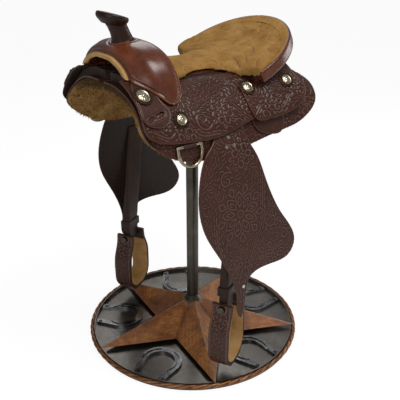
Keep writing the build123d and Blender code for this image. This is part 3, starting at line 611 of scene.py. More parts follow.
def starMaterial(name, look):
    mat, tree, shader, place = startMaterial(name)
    parts = add(tree, "SeparateXYZ", {0: place})
    x, y = parts.outputs["X"], parts.outputs["Y"]
    angle = mathOf(tree, "ARCTAN2", y, x)
    pitch = 2 * math.pi / look["arms"]
    angle = minus(tree, angle, math.radians(look["turn"]) - 10 * pitch)  # ten arms round, so never below 0
    angle = mathOf(tree, "MODULO", angle, pitch)
    angle = mathOf(tree, "ABSOLUTE", minus(tree, angle, pitch / 2))
    reach = mathOf(tree, "SQRT", plus(tree, times(tree, x, x), times(tree, y, y)))
    ridge = times(tree, reach, mathOf(tree, "SINE", minus(tree, pitch / 2, angle)))
    valley = times(tree, reach, mathOf(tree, "SINE", angle))
    ragged = noiseOf(tree, place, 130, 5, 0.7)
    blotch = noiseOf(tree, place, 13, 6, 0.65, 0.8)
    turned = add(tree, "Mapping", {"Vector": place, "Scale": (1, 1, 6), "Rotation": (0.4, 0.2, 0.6)})
    grain = add(tree, "TexWave", {"Vector": turned.outputs[0], "Scale": 17.0,
                                  "Distortion": 9.0, "Detail": 4.0, "Detail Scale": 2.2}).outputs["Fac"]
    colour = rampOf(tree, blotch, [(0.27, look["dark"]), (0.47, look["rust"]), (0.70, look["orange"])])
    colour = mixOf(tree, rangeOf(tree, grain, 0.45, 0.95, 0, 0.42), colour, look["dark"])
    colour = mixOf(tree, rangeOf(tree, ragged, 0.55, 0.75, 0, 0.4), colour, look["orange"])
    # The ridge line is worn bare steel and also a painted highlight along the ridges
    worn = rangeOf(tree, plus(tree, ridge, times(tree, ragged, 0.008)), *look["ridge"])
    tips = rangeOf(tree, minus(tree, reach, times(tree, ragged, 0.03)), *look["tips"])
    hub = rangeOf(tree, plus(tree, reach, times(tree, ragged, 0.03)), *look["hub"])
    silver = mathOf(tree, "MAXIMUM", mathOf(tree, "MAXIMUM", worn, tips), times(tree, hub, 0.75))
    silver = times(tree, silver, rangeOf(tree, noiseOf(tree, place, 50, 3), 0.35, 0.65, 0.05, 0.7))
    # Painted shade: darker in the valleys between the arms
    crease = rangeOf(tree, valley, *look["crease"])
    colour = mixOf(tree, times(tree, crease, 0.5), colour, look["dark"])
    colour = mixOf(tree, silver, colour, look["worn"])
    tree.links.new(rangeOf(tree, silver, 0, 1, 0.25, 1.0), shader.inputs["Metallic"])
    rough = rangeOf(tree, blotch, 0.3, 0.7, 0.32, 0.58)
    normal = bumpOf(tree, ragged, 0.5 * mm, 0.7)
    normal = bumpOf(tree, grain, 0.25 * mm, 0.5, normal)
    shade(tree, shader, colour, rough, normal, Coat_Weight=0.3, Coat_Roughness=0.2)
    return mat


def woodMaterial(name, look):
    mat, tree, shader, place = startMaterial(name)
    stretched = add(tree, "Mapping", {"Vector": place, "Scale": (1, 0.12, 1)}).outputs[0]
    rings = noiseOf(tree, stretched, 120, 5, 0.6, 1.2)
    colour = rampOf(tree, rings, [(0.3, look["dark"]), (0.5, look["colour"]), (0.72, look["light"])])
    normal = bumpOf(tree, rings, 0.4 * mm, 0.6)
    shade(tree, shader, colour, None, normal, Roughness=0.62)
    return mat


# Painted shade: both woods are near black for the shade under the leather and inside the gullet
woodLooks = {
    "inShade": {"colour": (0.030, 0.016, 0.010), "dark": (0.016, 0.009, 0.006),
               "light": (0.055, 0.028, 0.016)},
    "gullet": {"colour": (0.026, 0.013, 0.009), "dark": (0.013, 0.007, 0.005),
               "light": (0.05, 0.024, 0.014)},
}

leathers = {name: leatherMaterial(name + "Leather", look) for name, look in leatherLooks.items()}
suedes = {name: suedeMaterial(name + "Suede", look) for name, look in suedeLooks.items()}
steels = {name: steelMaterial(name + "Steel", look) for name, look in steelLooks.items()}
woods = {name: woodMaterial(name + "Wood", look) for name, look in woodLooks.items()}
starSteel = starMaterial("starSteel", starLook)

# Each finish and the nodes that wear it
wornBy = [
    (steels["plate"], "base_plate rim_band"),
    (steels["rope"], "rope_ring"),
    (starSteel, "star"),
    (steels["shoe"], "horseshoes"),
    (steels["post"], "post_tube"),
    (steels["bronze"], "upper_bush lower_bush thrust_washer"),
    (steels["zinc"], "swivel_spindle spindle_retainer bracket_plate bracket_bolts hanger_pins"),
    (steels["concho"], "conchos"),
    (woods["inShade"], "tree_bars tree_cantle horn_core"),
    (woods["gullet"], "tree_fork"),
    (leathers["tooled"], "ground_seat rosettes ring_clips"),
    (leathers["polished"], "fork_cover cantle_back cantle_roll"),
    (leathers["wrapped"], "horn_wrap horn_cap"),
    (suedes["lining"], "gullet_welt"),
    (suedes["seat"], "seat"),
]
pairWornBy = [
    (leathers["tooled"], "skirt seat_jockey rear_jockey rigging_plate rear_rigging_tab fender stirrup_cover"),
    (leathers["strap"], "stirrup_leather keeper"),
    (suedes["fleece"], "fleece"),
    (suedes["lining"], "stirrup_lining"),
    (woods["inShade"], "stirrup_frame"),
    (steels["post"], "stirrup_bolt_set"),
    (steels["rivet"], "fender_rivets"),
    (steels["ring"], "rigging_ring"),
]


def dressNodes(rows, ends):
    for material, nodes in rows:
        for node in nodes.split():
            for end in ends:
                dress(frame["nodes"][node + end], material)


dressNodes(wornBy, [""])
dressNodes(pairWornBy, ["_left", "_right"])
print("materials made")


# The right-hand twin is the mirror image across X, or the same piece moved over
def pairPiece(obj, base, material, move=None):
    dress(obj, material)
    mesh = obj.data.copy()
    mesh.transform(Matrix.Scale(-1, 4, (1, 0, 0)) if move is None else move)
    if move is None:
        mesh.flip_normals()
    twin = linked(obj.name.replace("Left", "Right"), mesh)
    finishPiece(obj, base + "_left")
    finishPiece(twin, base + "_right")


# Tooled sheets of the arch; one without a seed is left plain

sheets = {
    "seat_jockey": {"label": "seatJockeyLeft", "outer": arch["seatJockey"], "thick": 4, "voxel": 1.45,
                    "lift": arch["padLift"], "seed": 3,
                    "flowers": [(-45, 205, 30, 7, 0.3), (-160, 250, 24, 6, 0.1), (35, 200, 20, 6, 0.7),
                                (-215, 215, 18, 6, 0.4)],
                    "scrolls": [(-105, 215, 26, 0.5, 1), (-8, 238, 20, 2.4, -1), (60, 225, 17, 2.8, 1),
                                (-190, 265, 16, 0.2, -1)],
                    "stems": [[(-245, 235), (-205, 248), (-165, 222), (-120, 250), (-70, 252), (-25, 262)],
                              [(-90, 180), (-60, 172), (-15, 182), (15, 215), (60, 250)]]},
    "rear_jockey": {"label": "rearJockeyLeft", "outer": arch["rearJockey"], "thick": 4, "voxel": 1.45,
                    "lift": arch["padLift"], "seed": 5,
                    "flowers": [(110, 215, 24, 6, 0.2), (185, 185, 20, 6, 0.5)],
                    "scrolls": [(150, 235, 18, 0.2, 1), (75, 240, 17, 2.2, -1), (205, 215, 14, 3.0, 1)],
                    "stems": [[(45, 235), (80, 215), (120, 245), (165, 215), (205, 190)]]},
    "rigging_plate": {"label": "riggingPlateLeft", "outer": arch["rearJockey"], "thick": 4, "voxel": 1.2,
                      "lift": arch["padLift"]},
    "skirt": {"label": "skirtLeft", "outer": arch["skirt"], "thick": 5, "voxel": 1.8,
              "lift": 0, "seed": 9,
              "flowers": [(225, 225, 24, 6, 0.2), (-60, 268, 18, 6, 0.5), (150, 262, 20, 6, 0.1),
                          (-235, 235, 18, 6, 0.1), (60, 268, 18, 6, 0.3)],
              "scrolls": [(190, 250, 16, 0.4, 1), (245, 190, 16, 2.4, -1), (105, 265, 15, 0.2, -1)],
              "stems": [[(-240, 262), (-180, 280), (-110, 285), (-30, 284), (40, 275)]]},
    "rear_rigging_tab": {"label": "rearTabLeft", "outer": arch["tab"], "thick": 4, "voxel": 1.3,
                         "lift": 0},
}


def archSheet(node, plan):
    obj, points, normals, edge = fineMesh(plan["label"], node + "_left", plan["voxel"], 3, False)
    along, down, radius, out = archChart(points, plan["lift"])
    facing = (normals * out).sum(axis=1)
    top, under = facing > 0.4, facing < -0.4
    cut = np.zeros(len(points))
    if "seed" in plan:
        area = ((along[top].min(), down[top].min()), (along[top].max(), down[top].max()))
        inner = top & (edge > toolLook["inside"])
        cut[inner] = cutTooling(along[inner], down[inner], drawTooling(plan, area, plan["seed"]))
        cut *= fadeIn(edge)
    cut = np.where(top, cut + bands(edge, toolLook["edge"]), 0)
    target = np.where(top, plan["outer"] - softRim(edge, 1.6) + cut,
                      np.where(under, plan["outer"] - plan["thick"] + softRim(edge, 1.0), radius))
    pushOut(obj, points, out, target - radius)
    # tool paints highlight and shade on the tooling; back marks the underside, which the material darkens as
    # painted shade
    writeValues(obj, tool=cut, back=under, rim=fadeOut(edge, 0.4, 1.4) * (facing > -0.7))
    pairPiece(obj, node, leathers["tooled"])


for node, plan in sheets.items():
    archSheet(node, plan)
    print("sheet", node)


# Fenders, tooled on the outside and faintly marked through on the inside

fenderPlan = {"voxel": 1.4, "seed": 21, "shares": (1.0, 0.25),
              "flowers": [(-36, 470, 56, 9, 0.2), (62, 322, 40, 7, 0.5), (-20, 610, 30, 7, 0.1),
                          (-64, 335, 24, 6, 0.4), (116, 258, 18, 6, 0.2)],
              "stems": [[(30, 640), (42, 570), (38, 500), (30, 430), (0, 380), (-30, 300), (-45, 235)],
                        [(-110, 480), (-112, 420), (-100, 370)]],
              "scrolls": [(62, 430, 24, 2.0, 1), (-70, 560, 22, 0.8, 1), (14, 262, 20, 2.2, -1),
                          (-100, 410, 18, 0.3, -1), (100, 380, 16, 1.8, -1)]}


def fenderPiece(plan):
    obj, points, normals, edge = fineMesh("fenderLeft", "fender_left", plan["voxel"], 4)
    top, under = normals[:, 0] > 0.3, normals[:, 0] < -0.3
    along, down = points[:, 1] / mm, points[:, 2] / mm
    area = ((along.min(), down.min()), (along.max(), down.max()))
    cut = np.zeros(len(points))
    trees = drawTooling(plan, area, plan["seed"])
    for face, share in zip((top, under), plan["shares"]):
        inner = face & (edge > toolLook["inside"])
        cut[inner] = share * cutTooling(along[inner], down[inner], trees)
    cut *= fadeIn(edge)
    cut += np.where(top, bands(edge, toolLook["edge"]), 0)
    pushOut(obj, points, normals, cut - softRim(edge, 1.4) * 0.8)
    # tool paints highlight and shade on the tooling; back marks the inner side, which the material darkens as
    # painted shade
    writeValues(obj, tool=cut, back=under, rim=fadeOut(edge, 0.4, 1.4))
    pairPiece(obj, "fender", leathers["tooled"])


fenderPiece(fenderPlan)
print("fenders")


# Stirrup covers, stirrup leathers and keepers

stirrups = {"x": 234, "y": -64, "turn": 28, "middle": 112, "round": 62}
shiftToRight = Matrix.Translation((-2 * stirrups["x"] * mm, 0, 0))
coverPlan = {"voxel": 1.15, "seed": 31, "area": ((-24, -230), (24, 230)), "seam": 3.6, "stitch": 4.2,
             "flowers": [(0, run, 20, 6, 0.2) for run in (-180, -70, 70, 180)],
             "scrolls": [(0, run, 17, 0.4, 1) for run in (-125, 0, 125)]}


# Across the stirrup, round it from the middle of its foot, and the way from its middle
def stirrupChart(points):
    turn = math.radians(stirrups["turn"])
    dx = points[:, 0] / mm - stirrups["x"]
    dy = points[:, 1] / mm - stirrups["y"]
    across = dx * math.cos(turn) + dy * math.sin(turn)
    around = -dx * math.sin(turn) + dy * math.cos(turn)
    high = points[:, 2] / mm
    swing = np.arctan2(around, stirrups["middle"] - high)
    upright = np.sign(around) * (np.pi / 2 * stirrups["round"] + high - stirrups["middle"])
    run = np.where(high > stirrups["middle"], upright, swing * stirrups["round"])
    return across, run, np.stack([around, high - stirrups["middle"]], axis=1)


def stirrupCover(plan):
    obj, points, normals, edge = fineMesh("stirrupCoverLeft", "stirrup_cover_left", plan["voxel"], 3)
    across, run, flat = stirrupChart(points)
    turn = math.radians(stirrups["turn"])
    outward = -normals[:, 0] * math.sin(turn) + normals[:, 1] * math.cos(turn)
    top = (outward * flat[:, 0] + normals[:, 2] * flat[:, 1]) > 0.3 * np.hypot(flat[:, 0], flat[:, 1])
    inner = top & (edge > 6)
    cut = np.zeros(len(points))
    cut[inner] = cutTooling(across[inner], run[inner], drawTooling(plan, plan["area"], plan["seed"]))
    cut *= fadeIn(edge, 6.2, 1.2)
    thread = bell(edge, plan["seam"], 0.7) * top * dashes(run * 2 * np.pi / plan["stitch"], 1.6)
    cut += -0.55 * bell(edge, plan["seam"], 1.1) * top
    pushOut(obj, points, normals, cut + 0.35 * thread - softRim(edge, 1.1) * 0.7)
    # tool paints the tooling as highlight and shade, and the seam groove as painted shade
    writeValues(obj, tool=cut, stitch=thread, rim=fadeOut(edge, 0.3, 1.1) * 0.8)
    pairPiece(obj, "stirrup_cover", leathers["tooled"], shiftToRight)


strapPlans = {"stirrupLeather": {"node": "stirrup_leather", "voxel": 2.0, "crease": 3.0, "relax": 3},
              "keeper": {"node": "keeper", "voxel": 1.0, "crease": 4.0, "relax": 2}}


def strapPiece(label, side, plan):
    node = plan["node"] + "_" + side.lower()
    obj, points, normals, edge = fineMesh(label + side, node, plan["voxel"], plan["relax"])
    cut = -0.6 * bell(edge, plan["crease"], 0.9)
    pushOut(obj, points, normals, cut - softRim(edge, 1.2) * 0.6)
    # Painted shade in the strap's crease
    writeValues(obj, tool=cut, rim=fadeOut(edge, 0.3, 1.3))
    dress(obj, leathers["strap"])
    finishPiece(obj, node)


stirrupCover(coverPlan)
for side in ("Left", "Right"):
    for label, plan in strapPlans.items():
        strapPiece(label, side, plan)
print("stirrups")


# Fork, horn and cantle leather

# The fork's welt: a round roll at the edge, the groove inside it and a low swell
forkLook = {"voxel": 1.7, "relax": 6, "welt": [(1.5, 3.0, 2.6), (-1.9, 7.6, 1.7), (0.4, 11.0, 1.6)],
            "worn": [(0.95, 7.6, 1.6)]}


def forkCover(look):
    obj, points, normals, edge = fineMesh("forkCover", "fork_cover", look["voxel"], look["relax"])
    cut = bands(edge, look["welt"])
    pushOut(obj, points, normals, cut - softRim(edge, 2.0) * 0.6)
    relaxMesh(obj, 1)
    # Painted highlight on the welt's roll and painted shade in its groove
    writeValues(obj, tool=0.55 * cut, rim=bands(edge, look["worn"]) + 0.6 * fadeOut(edge, 0, 1.2))
    dress(obj, leathers["polished"])
    finishPiece(obj, "fork_cover")


# The horn's neck is wound with a strap, each lap a step over the one before
hornLook = {"voxel": 1.25, "base": (0, -192, 858), "top": (0, -214, 914), "outside": 19.5,
            "turns": 2.2, "step": 1.0, "start": 0.6, "lapEdge": [(0.6, 1.6, 0.9), (-0.5, 0.2, 0.7)]}


def hornWrap(look):
    obj, points, normals, edge = fineMesh("hornWrap", "horn_wrap", look["voxel"], 3)
    base, top = Vector(look["base"]) * mm, Vector(look["top"]) * mm
    axis = top - base
    away = points - np.array(base)
    share = away @ np.array(axis) / axis.length ** 2
    spoke = away - share[:, None] * np.array(axis)
    swing = np.arctan2(spoke[:, 1], spoke[:, 0]) / (2 * np.pi)
    lap = (share * look["turns"] + swing + look["start"]) % 1.0
    outer = np.hypot(spoke[:, 0], spoke[:, 1]) > look["outside"] * mm
    pushOut(obj, points, normals, look["step"] * (np.clip(lap * 14, 0, 1) - 1 + 0.3 * lap) * outer)
    relaxMesh(obj, 1)
    # Painted highlight and painted shade at each lap's step
    writeValues(obj, tool=bands(lap * 30, look["lapEdge"]) * outer)
    dress(obj, leathers["wrapped"])
    finishPiece(obj, "horn_wrap")


capLook = {"voxel": 1.2, "tilt": 17, "radius": 38, "crown": 1.6, "neck": 21, "flare": 12.0,
           "seam": 31.5, "stitches": 46, "belt": 34}


def hornCap(look):
    obj, points, normals, edge = fineMesh("hornCap", "horn_cap", look["voxel"], 3, False)
    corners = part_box("horn_cap")
    away = points - np.array((Vector(corners[0]) + Vector(corners[1])) / 2)
    tilt = math.radians(look["tilt"])
    up = np.array((0, math.sin(tilt), math.cos(tilt)))
    high = away @ up / mm
    reach = np.linalg.norm(away - (away @ up)[:, None] * up, axis=1) / mm
    seam = bell(reach, look["seam"], 0.9) * (high > 2)
    thread = seam * dashes(np.arctan2(away[:, 1], away[:, 0]) * look["stitches"])
    belt = bell(high, 0.5, 0.8) * (reach > look["belt"])
    crown = look["crown"] * (1 - (reach / look["radius"]) ** 2) * (high > 2)
    flare = fadeOut(reach, look["neck"], look["radius"] - look["neck"]) * np.clip(-high / 4, 0, 1)
    points -= up * (look["flare"] * flare * mm)[:, None]
    pushOut(obj, points, normals, crown - 0.6 * seam - 0.6 * belt + 0.25 * thread)
    relaxMesh(obj, 4)
    # Painted shade in the cap's seam and belt
    writeValues(obj, tool=-0.5 * seam - 0.5 * belt, stitch=0.5 * thread)
    dress(obj, leathers["wrapped"])
    finishPiece(obj, "horn_cap")


# The cantle's rim: a leather roll piped at its outer edge, with a suede top inside the piping
rimLook = {"voxel": 1.8, "centre": (0, 87, 789), "tilt": 27, "radius": 163, "outer": 176, "offset": 22,
           "thick": 34, "piping": 3.2, "groove": 7.0, "stitchLine": 8.5, "stitches": 230, "seam": 6}
rimFrame = (Matrix.Translation(Vector(rimLook["centre"]) * mm)
            @ Matrix.Rotation(math.radians(rimLook["tilt"]), 4, "X"))


def cantleRoll(look):
    obj, points, normals, edge = fineMesh("cantleRoll", "cantle_roll", look["voxel"], 4)
    x, y, high = inFrame(points, rimFrame).T
    reach = np.hypot(x, y - look["offset"])
    lift = normals @ np.array(rimFrame.to_3x3())[:, 2]
    top = (lift > 0.55) & (high > -8)
    side = (reach > look["outer"] - 6) & (high < -5)
    piping = bell(reach, look["outer"] - look["piping"], 2.2) * (high > -9)
    seam = look["seam"] - look["thick"]
    low = bell(high, seam, 1.0) * side
    puff = 0.3 * np.clip(lift, 0, 1) * (high > -4)
    groove = 1.6 * bell(reach, look["outer"] - look["groove"], 1.6) * top
    pushOut(obj, points, normals, 0.8 * piping - 0.9 * low + puff - groove)
    relaxMesh(obj, 1)
    thread = bell(reach, look["outer"] - look["stitchLine"], 0.9) * top
    thread = thread * dashes(np.arctan2(y - look["offset"], x) * look["stitches"])
    # Painted shade in the low seam and a painted highlight band above it
    writeValues(obj, tool=-0.6 * low + 0.3 * bell(high, seam + 3, 1.2) * side,
                rim=np.clip(piping * 1.2, 0, 1), stitch=0.6 * thread)
    dress(obj, leathers["polished"], suedes["seat"])
    suede = (lift > 0.35) & (high > -9) & (reach < look["outer"] - 5)
    for polygon in obj.data.polygons:
        polygon.material_index = int(all(suede[index] for index in polygon.vertices))
    finishPiece(obj, "cantle_roll")


forkCover(forkLook)
hornWrap(hornLook)
hornCap(capLook)
cantleRoll(rimLook)
print("fork, horn and cantle")


# The padded seat, puffed as cloth and then pressed in along its quilted rows

seatPlan = {"voxel": 5.0, "inset": 1.0, "pressure": 4.0, "frames": 20, "cap": 5.0, "levels": 2,
            "spread": 8.5, "lift": 4.2, "depth": 3.0, "deep": 3.4,
            "leaf": [(0, 128), (17, 141), (27, 166), (22, 196), (0, 222)],
            "rows": [[(0, 128), (22, 141), (44, 145), (66, 140), (86, 125), (100, 104)],
                     [(0, 88), (20, 100), (44, 108), (70, 107), (92, 96), (112, 82)],
                     [(0, 56), (20, 68), (44, 76), (68, 76), (92, 68), (118, 56)],
                     [(0, 24), (18, 36), (40, 42), (62, 38), (78, 26)],
                     [(0, 128), (0, 112), (0, 88)], [(0, 88), (0, 56)], [(0, 56), (0, 24)],
                     [(74, -78), (57, -64), (50, -42), (58, -24), (74, -20)],
                     [(74, -20), (60, -6), (56, 14), (66, 28), (88, 34)],
                     [(0, 24), (14, 2), (16, -30), (0, -62)]],
            "deepRows": [[(66, 140), (86, 125), (100, 104)], [(92, 96), (112, 82)],
                         [(68, 76), (92, 68), (118, 56)], [(17, 141), (27, 166), (24, 185)]],
            "scallops": 8, "first": -4, "last": 184}


# The quilted rows on both sides with the scalloped border along the cantle, and the deeper rows
def seatLines(plan):
    half = [smoothPath(row) for row in [plan["leaf"]] + plan["rows"]]
    t = np.linspace(0, 1, 400)
    swing = np.radians(plan["first"] + (plan["last"] - plan["first"]) * t)
    share = 0.93 - 0.12 * np.abs(np.sin(np.pi * plan["scallops"] * t))
    border = np.stack([rimLook["radius"] * share * np.cos(swing),
                       rimLook["centre"][1] + 145 * share * np.sin(swing)], axis=1)
    mirrored = [row * np.array((-1, 1)) for row in half]
    deep = [smoothPath(row) for row in plan["deepRows"]]
    deep += [row * np.array((-1, 1)) for row in deep]
    return half + mirrored + [border], deep


def puffed(obj, plan):
    before = readPoints(obj.data)
    cloth = obj.modifiers.new("cloth", "CLOTH")
    cloth.settings.quality = 5
    cloth.settings.mass = 0.3
    cloth.settings.tension_stiffness = 15
    cloth.settings.compression_stiffness = 15
    cloth.settings.bending_stiffness = 0.5
    cloth.settings.use_pressure = True
    cloth.settings.uniform_pressure_force = plan["pressure"]
    cloth.settings.effector_weights.gravity = 0
    cloth.point_cache.frame_start = 1
    cloth.point_cache.frame_end = plan["frames"]
    for number in range(1, plan["frames"] + 1):
        bpy.context.scene.frame_set(number)
    graph = bpy.context.evaluated_depsgraph_get()
    swollen = readPoints(obj.evaluated_get(graph).to_mesh())
    obj.evaluated_get(graph).to_mesh_clear()
    obj.modifiers.clear()
    bpy.context.scene.frame_set(1)
    return swollen - before


# The seat swells where it is free, and little or not at all underneath, at the fork and at the
# cantle's rim, where its edge is laid out and up over the rim instead
def swellSeat(obj, plan):
    points = readPoints(obj.data)
    normals = readPoints(obj.data, "normal")
    x, y, high = inFrame(points, rimFrame).T
    reach = np.hypot(x, y)
    free = np.clip((normals[:, 2] - 0.1) / 0.4, 0, 1)
    free *= np.clip((points[:, 1] / mm + 134) / 12, 0.1, 1)
    free *= np.clip((rimLook["radius"] + 2 - reach) / 16, 0.15, 1)
    moved = puffed(obj, plan)
    size = np.linalg.norm(moved, axis=1)
    moved *= (np.minimum(size, plan["cap"] * mm) / np.maximum(size, 1e-9))[:, None]
    moved[:, 2] -= plan["inset"] * mm * free
    points += moved * free[:, None]
    spill = np.clip((reach - 138) / 20, 0, 1) * (high > -14) * (points[:, 1] / mm > 30)
    tilted = np.array(rimFrame.to_3x3())
    spoke = np.stack([x, y], axis=1) / np.maximum(reach, 1)[:, None]
    outer = spoke[:, :1] * tilted[:, 0] + spoke[:, 1:] * tilted[:, 1]
    points += outer * (plan["spread"] * mm * spill)[:, None]
    points += tilted[:, 2] * (plan["lift"] * mm * spill * (high > -7))[:, None]
    writePoints(obj.data, points)


def quiltSeat(obj, plan):
    points = readPoints(obj.data)
    normals = readPoints(obj.data, "normal")
    flat = flatPoints(points[:, 0] / mm, points[:, 1] / mm)
    near, nearDeep = (nearest(nearTree([(x, y, 0) for line in lines for x, y in spread(line)]), flat)
                      for lines in seatLines(plan))
    top = np.clip((normals[:, 2] - 0.25) / 0.3, 0, 1)
    thread = bell(near, 0, 0.9)
    cut = -plan["depth"] * np.exp(-near / 5.5) - 0.5 * thread
    cut -= plan["deep"] * np.exp(-nearDeep / 5.0)
    pushOut(obj, points, normals, cut * top)
    # Painted shade along the deep quilted rows
    writeValues(obj, stitch=thread * top * 0.55, soil=0.35 * np.exp(-nearDeep / 2.5) * top)


def paddedSeat(plan):
    obj = newObject("seatPad", nodeMesh("seat"))
    remeshed(obj, plan["voxel"])
    relaxMesh(obj, 2)
    swellSeat(obj, plan)
    relaxMesh(obj, 1)
    for level in range(plan["levels"]):
        smoother = obj.modifiers.new("smoother", "SUBSURF")
        smoother.levels = smoother.render_levels = 1
        applied(obj)
    quiltSeat(obj, plan)
    dress(obj, suedes["seat"])
    smoothShaded(obj.data)
    finishPiece(obj, "seat")


paddedSeat(seatPlan)
print("seat")


# Fleece: a wavy pad with thousands of small tufts that hang down

fleecePlan = {"voxel": 3.2, "tufts": 5200, "length": (4.5, 8.5), "width": 1.0, "seed": 41,
              "wave": 0.8, "soilFrom": 725, "soilRun": 30}


def tuftMesh(spots, plan):
    draw = random.Random(plan["seed"])
    verts, faces = [], []
    for tuft in range(plan["tufts"]):
        centre, normal = draw.choice(spots)
        flow = Vector((0.1, -0.5 + 0.5 * math.sin(centre.y * 18 + centre.z * 25), -0.9))
        stray = Vector([draw.uniform(-0.35, 0.35) for axis in range(3)])
        aim = (normal * 0.55 + flow * 0.7 + stray).normalized()
        first = aim.orthogonal().normalized() * plan["width"] * mm
        second = aim.cross(first)
        foot = centre - aim * 0.5 * mm
        start = len(verts)
        verts += [foot + first, foot - 0.5 * first + 0.87 * second, foot - 0.5 * first - 0.87 * second,
                  foot + aim * draw.uniform(*plan["length"]) * mm]
        faces += [(start, start + 1, start + 3), (start + 1, start + 2, start + 3),
                  (start + 2, start, start + 3), (start + 2, start + 1, start)]
    tufts = bpy.data.meshes.new("tufts")
    tufts.from_pydata(verts, [], faces)
    return tufts


def fleecePiece(plan):
    obj, points, normals, edge = fineMesh("fleeceLeft", "fleece_left", plan["voxel"], 2, False)
    wave = np.sin(points[:, 1] * 260 + 3 * np.sin(points[:, 2] * 190))
    wave = wave * np.sin(points[:, 2] * 310 + points[:, 0] * 120)
    pushOut(obj, points, normals, plan["wave"] * wave * (normals[:, 0] < 0.2))
    bm = bmesh.new()
    bm.from_mesh(obj.data)
    spots = [(face.calc_center_median(), face.normal.copy()) for face in bm.faces
             if face.normal.x < 0.3 or face.calc_center_median().z < 0.66]
    tufts = tuftMesh(spots, plan)
    bm.from_mesh(tufts)
    bpy.data.meshes.remove(tufts)
    bm.to_mesh(obj.data)
    bm.free()
    high = readPoints(obj.data)[:, 2] / mm
    # Painted shade: the fleece darkens towards its top, under the skirt
    writeValues(obj, soil=0.9 * np.clip((high - plan["soilFrom"]) / plan["soilRun"], 0, 1))
    smoothShaded(obj.data)
    pairPiece(obj, "fleece", suedes["fleece"])


fleecePiece(fleecePlan)
print("fleece")


# Rope ring, conchos and rosettes

ropePlan = {"middle": 300.05, "radius": 6, "height": 11.05, "strands": 3, "turns": 60, "steps": 168,
            "parts": 12, "sides": 18, "core": 0.66, "lobe": 0.34}


# A ring of round section, pressed in between the strands that wind round it
def ropeRing(plan):
    bm = bmesh.new()
    middle, height = plan["middle"] * mm, plan["height"] * mm
    start = Matrix.Translation((middle, 0, height)) @ Matrix.Rotation(math.pi / 2, 4, "X")
    made = bmesh.ops.create_circle(bm, cap_ends=False, segments=plan["sides"],
                                   radius=plan["radius"] * mm, matrix=start)
    edges = list({edge for vert in made["verts"] for edge in vert.link_edges})
    part = 2 * math.pi / plan["parts"]
    bmesh.ops.spin(bm, geom=made["verts"] + edges, cent=(0, 0, 0), axis=(0, 0, 1), angle=part,
                   steps=plan["steps"])
    bmesh.ops.spin(bm, geom=bm.verts[:] + bm.edges[:] + bm.faces[:], cent=(0, 0, 0), axis=(0, 0, 1),
                   angle=2 * math.pi - part, steps=plan["parts"] - 1, use_duplicate=True)
    bmesh.ops.remove_doubles(bm, verts=bm.verts, dist=0.01 * mm)
    lows = []
    for vert in bm.verts:
        swing = math.atan2(vert.co.y, vert.co.x)
        side = math.hypot(vert.co.x, vert.co.y) - middle
        high = vert.co.z - height
        turn = math.atan2(high, side)
        lobe = abs(math.cos(plan["strands"] / 2 * (turn - plan["turns"] / plan["strands"] * swing)))
        share = plan["core"] + plan["lobe"] * lobe ** 0.6
        pull = (middle + side * share) / (middle + side)
        vert.co.x *= pull
        vert.co.y *= pull
        vert.co.z = height + high * share
        # Dark rust with painted shade in the grooves between the strands
        lows.append(max(0.0, 1 - 1.5 * lobe))
    bmesh.ops.recalc_face_normals(bm, faces=bm.faces)
    obj = newObject("ropeRing", bm)
    writeValues(obj, ink=lows)
    dress(obj, steels["rope"])
    finishPiece(obj, "rope_ring")


# Each place is along the saddle, the angle down the flank, the concho's radius and the arch's level there;
# the profile runs from the middle out, as shares of the radius and heights
conchoPlan = {"places": [(-240, 37.6, 17, 175.4), (-165, 56.9, 13.5, 171.1), (53, 40, 14.5, 175.4),
                         (174, 44, 13.5, 175.4)],
              "lift": 2.25, "sides": 64,
              "profile": [(0, 3.9), (0.10, 3.9), (0.17, 3.2), (0.24, 3.5), (0.36, 3.3), (0.52, 2.9),
                          (0.66, 2.5), (0.72, 2.0), (0.76, 2.6), (0.83, 2.9), (0.90, 2.7), (0.96, 2.0),
                          (1.0, 1.0), (1.0, 0.0), (0, 0)]}


def archFrame(y, angle, radius):
    turn = math.radians(angle)
    reach = arch["rocker"] - arch["padLift"] - radius * math.cos(turn)
    rock = math.asin(y / reach)
    place = Vector((arch["flat"] + radius * math.sin(turn), y,
                    arch["centre"] + arch["rocker"] - reach * math.cos(rock))) * mm
    out = Vector((math.sin(turn), -math.cos(turn) * math.sin(rock), math.cos(turn) * math.cos(rock)))
    along = Vector((0, math.cos(rock), math.sin(rock)))
    return Matrix.Translation(place) @ Matrix((along, out.cross(along), out)).transposed().to_4x4()


def conchoShape(bm, radius, place, plan):
    verts = [bm.verts.new(Vector((share * radius, 0, high)) * mm) for share, high in plan["profile"]]
    edges = [bm.edges.new(pair) for pair in zip(verts[:-1], verts[1:])]
    bmesh.ops.spin(bm, geom=verts + edges, cent=(0, 0, 0), axis=(0, 0, 1), angle=2 * math.pi,
                   steps=plan["sides"], use_merge=True)
    for vert in [vert for vert in bm.verts if not vert.tag]:
        share = math.hypot(vert.co.x, vert.co.y) / (radius * mm)
        swing = math.atan2(vert.co.y, vert.co.x)
        if 0.3 < share < 0.7:
            vert.co.z += 0.22 * mm * math.cos(8 * swing) * math.sin((share - 0.3) / 0.4 * math.pi)
        if 0.8 < share < 0.95:
            vert.co.z += 0.16 * mm * math.cos(24 * swing)
        vert.co = place @ vert.co
        vert.tag = True


def mirrorInto(obj):
    bm = bmesh.new()
    bm.from_mesh(obj.data)
    twin = bmesh.ops.duplicate(bm, geom=bm.verts[:] + bm.edges[:] + bm.faces[:])["geom"]
    verts = [item for item in twin if isinstance(item, bmesh.types.BMVert)]
    faces = [item for item in twin if isinstance(item, bmesh.types.BMFace)]
    bmesh.ops.scale(bm, vec=(-1, 1, 1), verts=verts)
    bmesh.ops.reverse_faces(bm, faces=faces)
    bm.to_mesh(obj.data)
    bm.free()


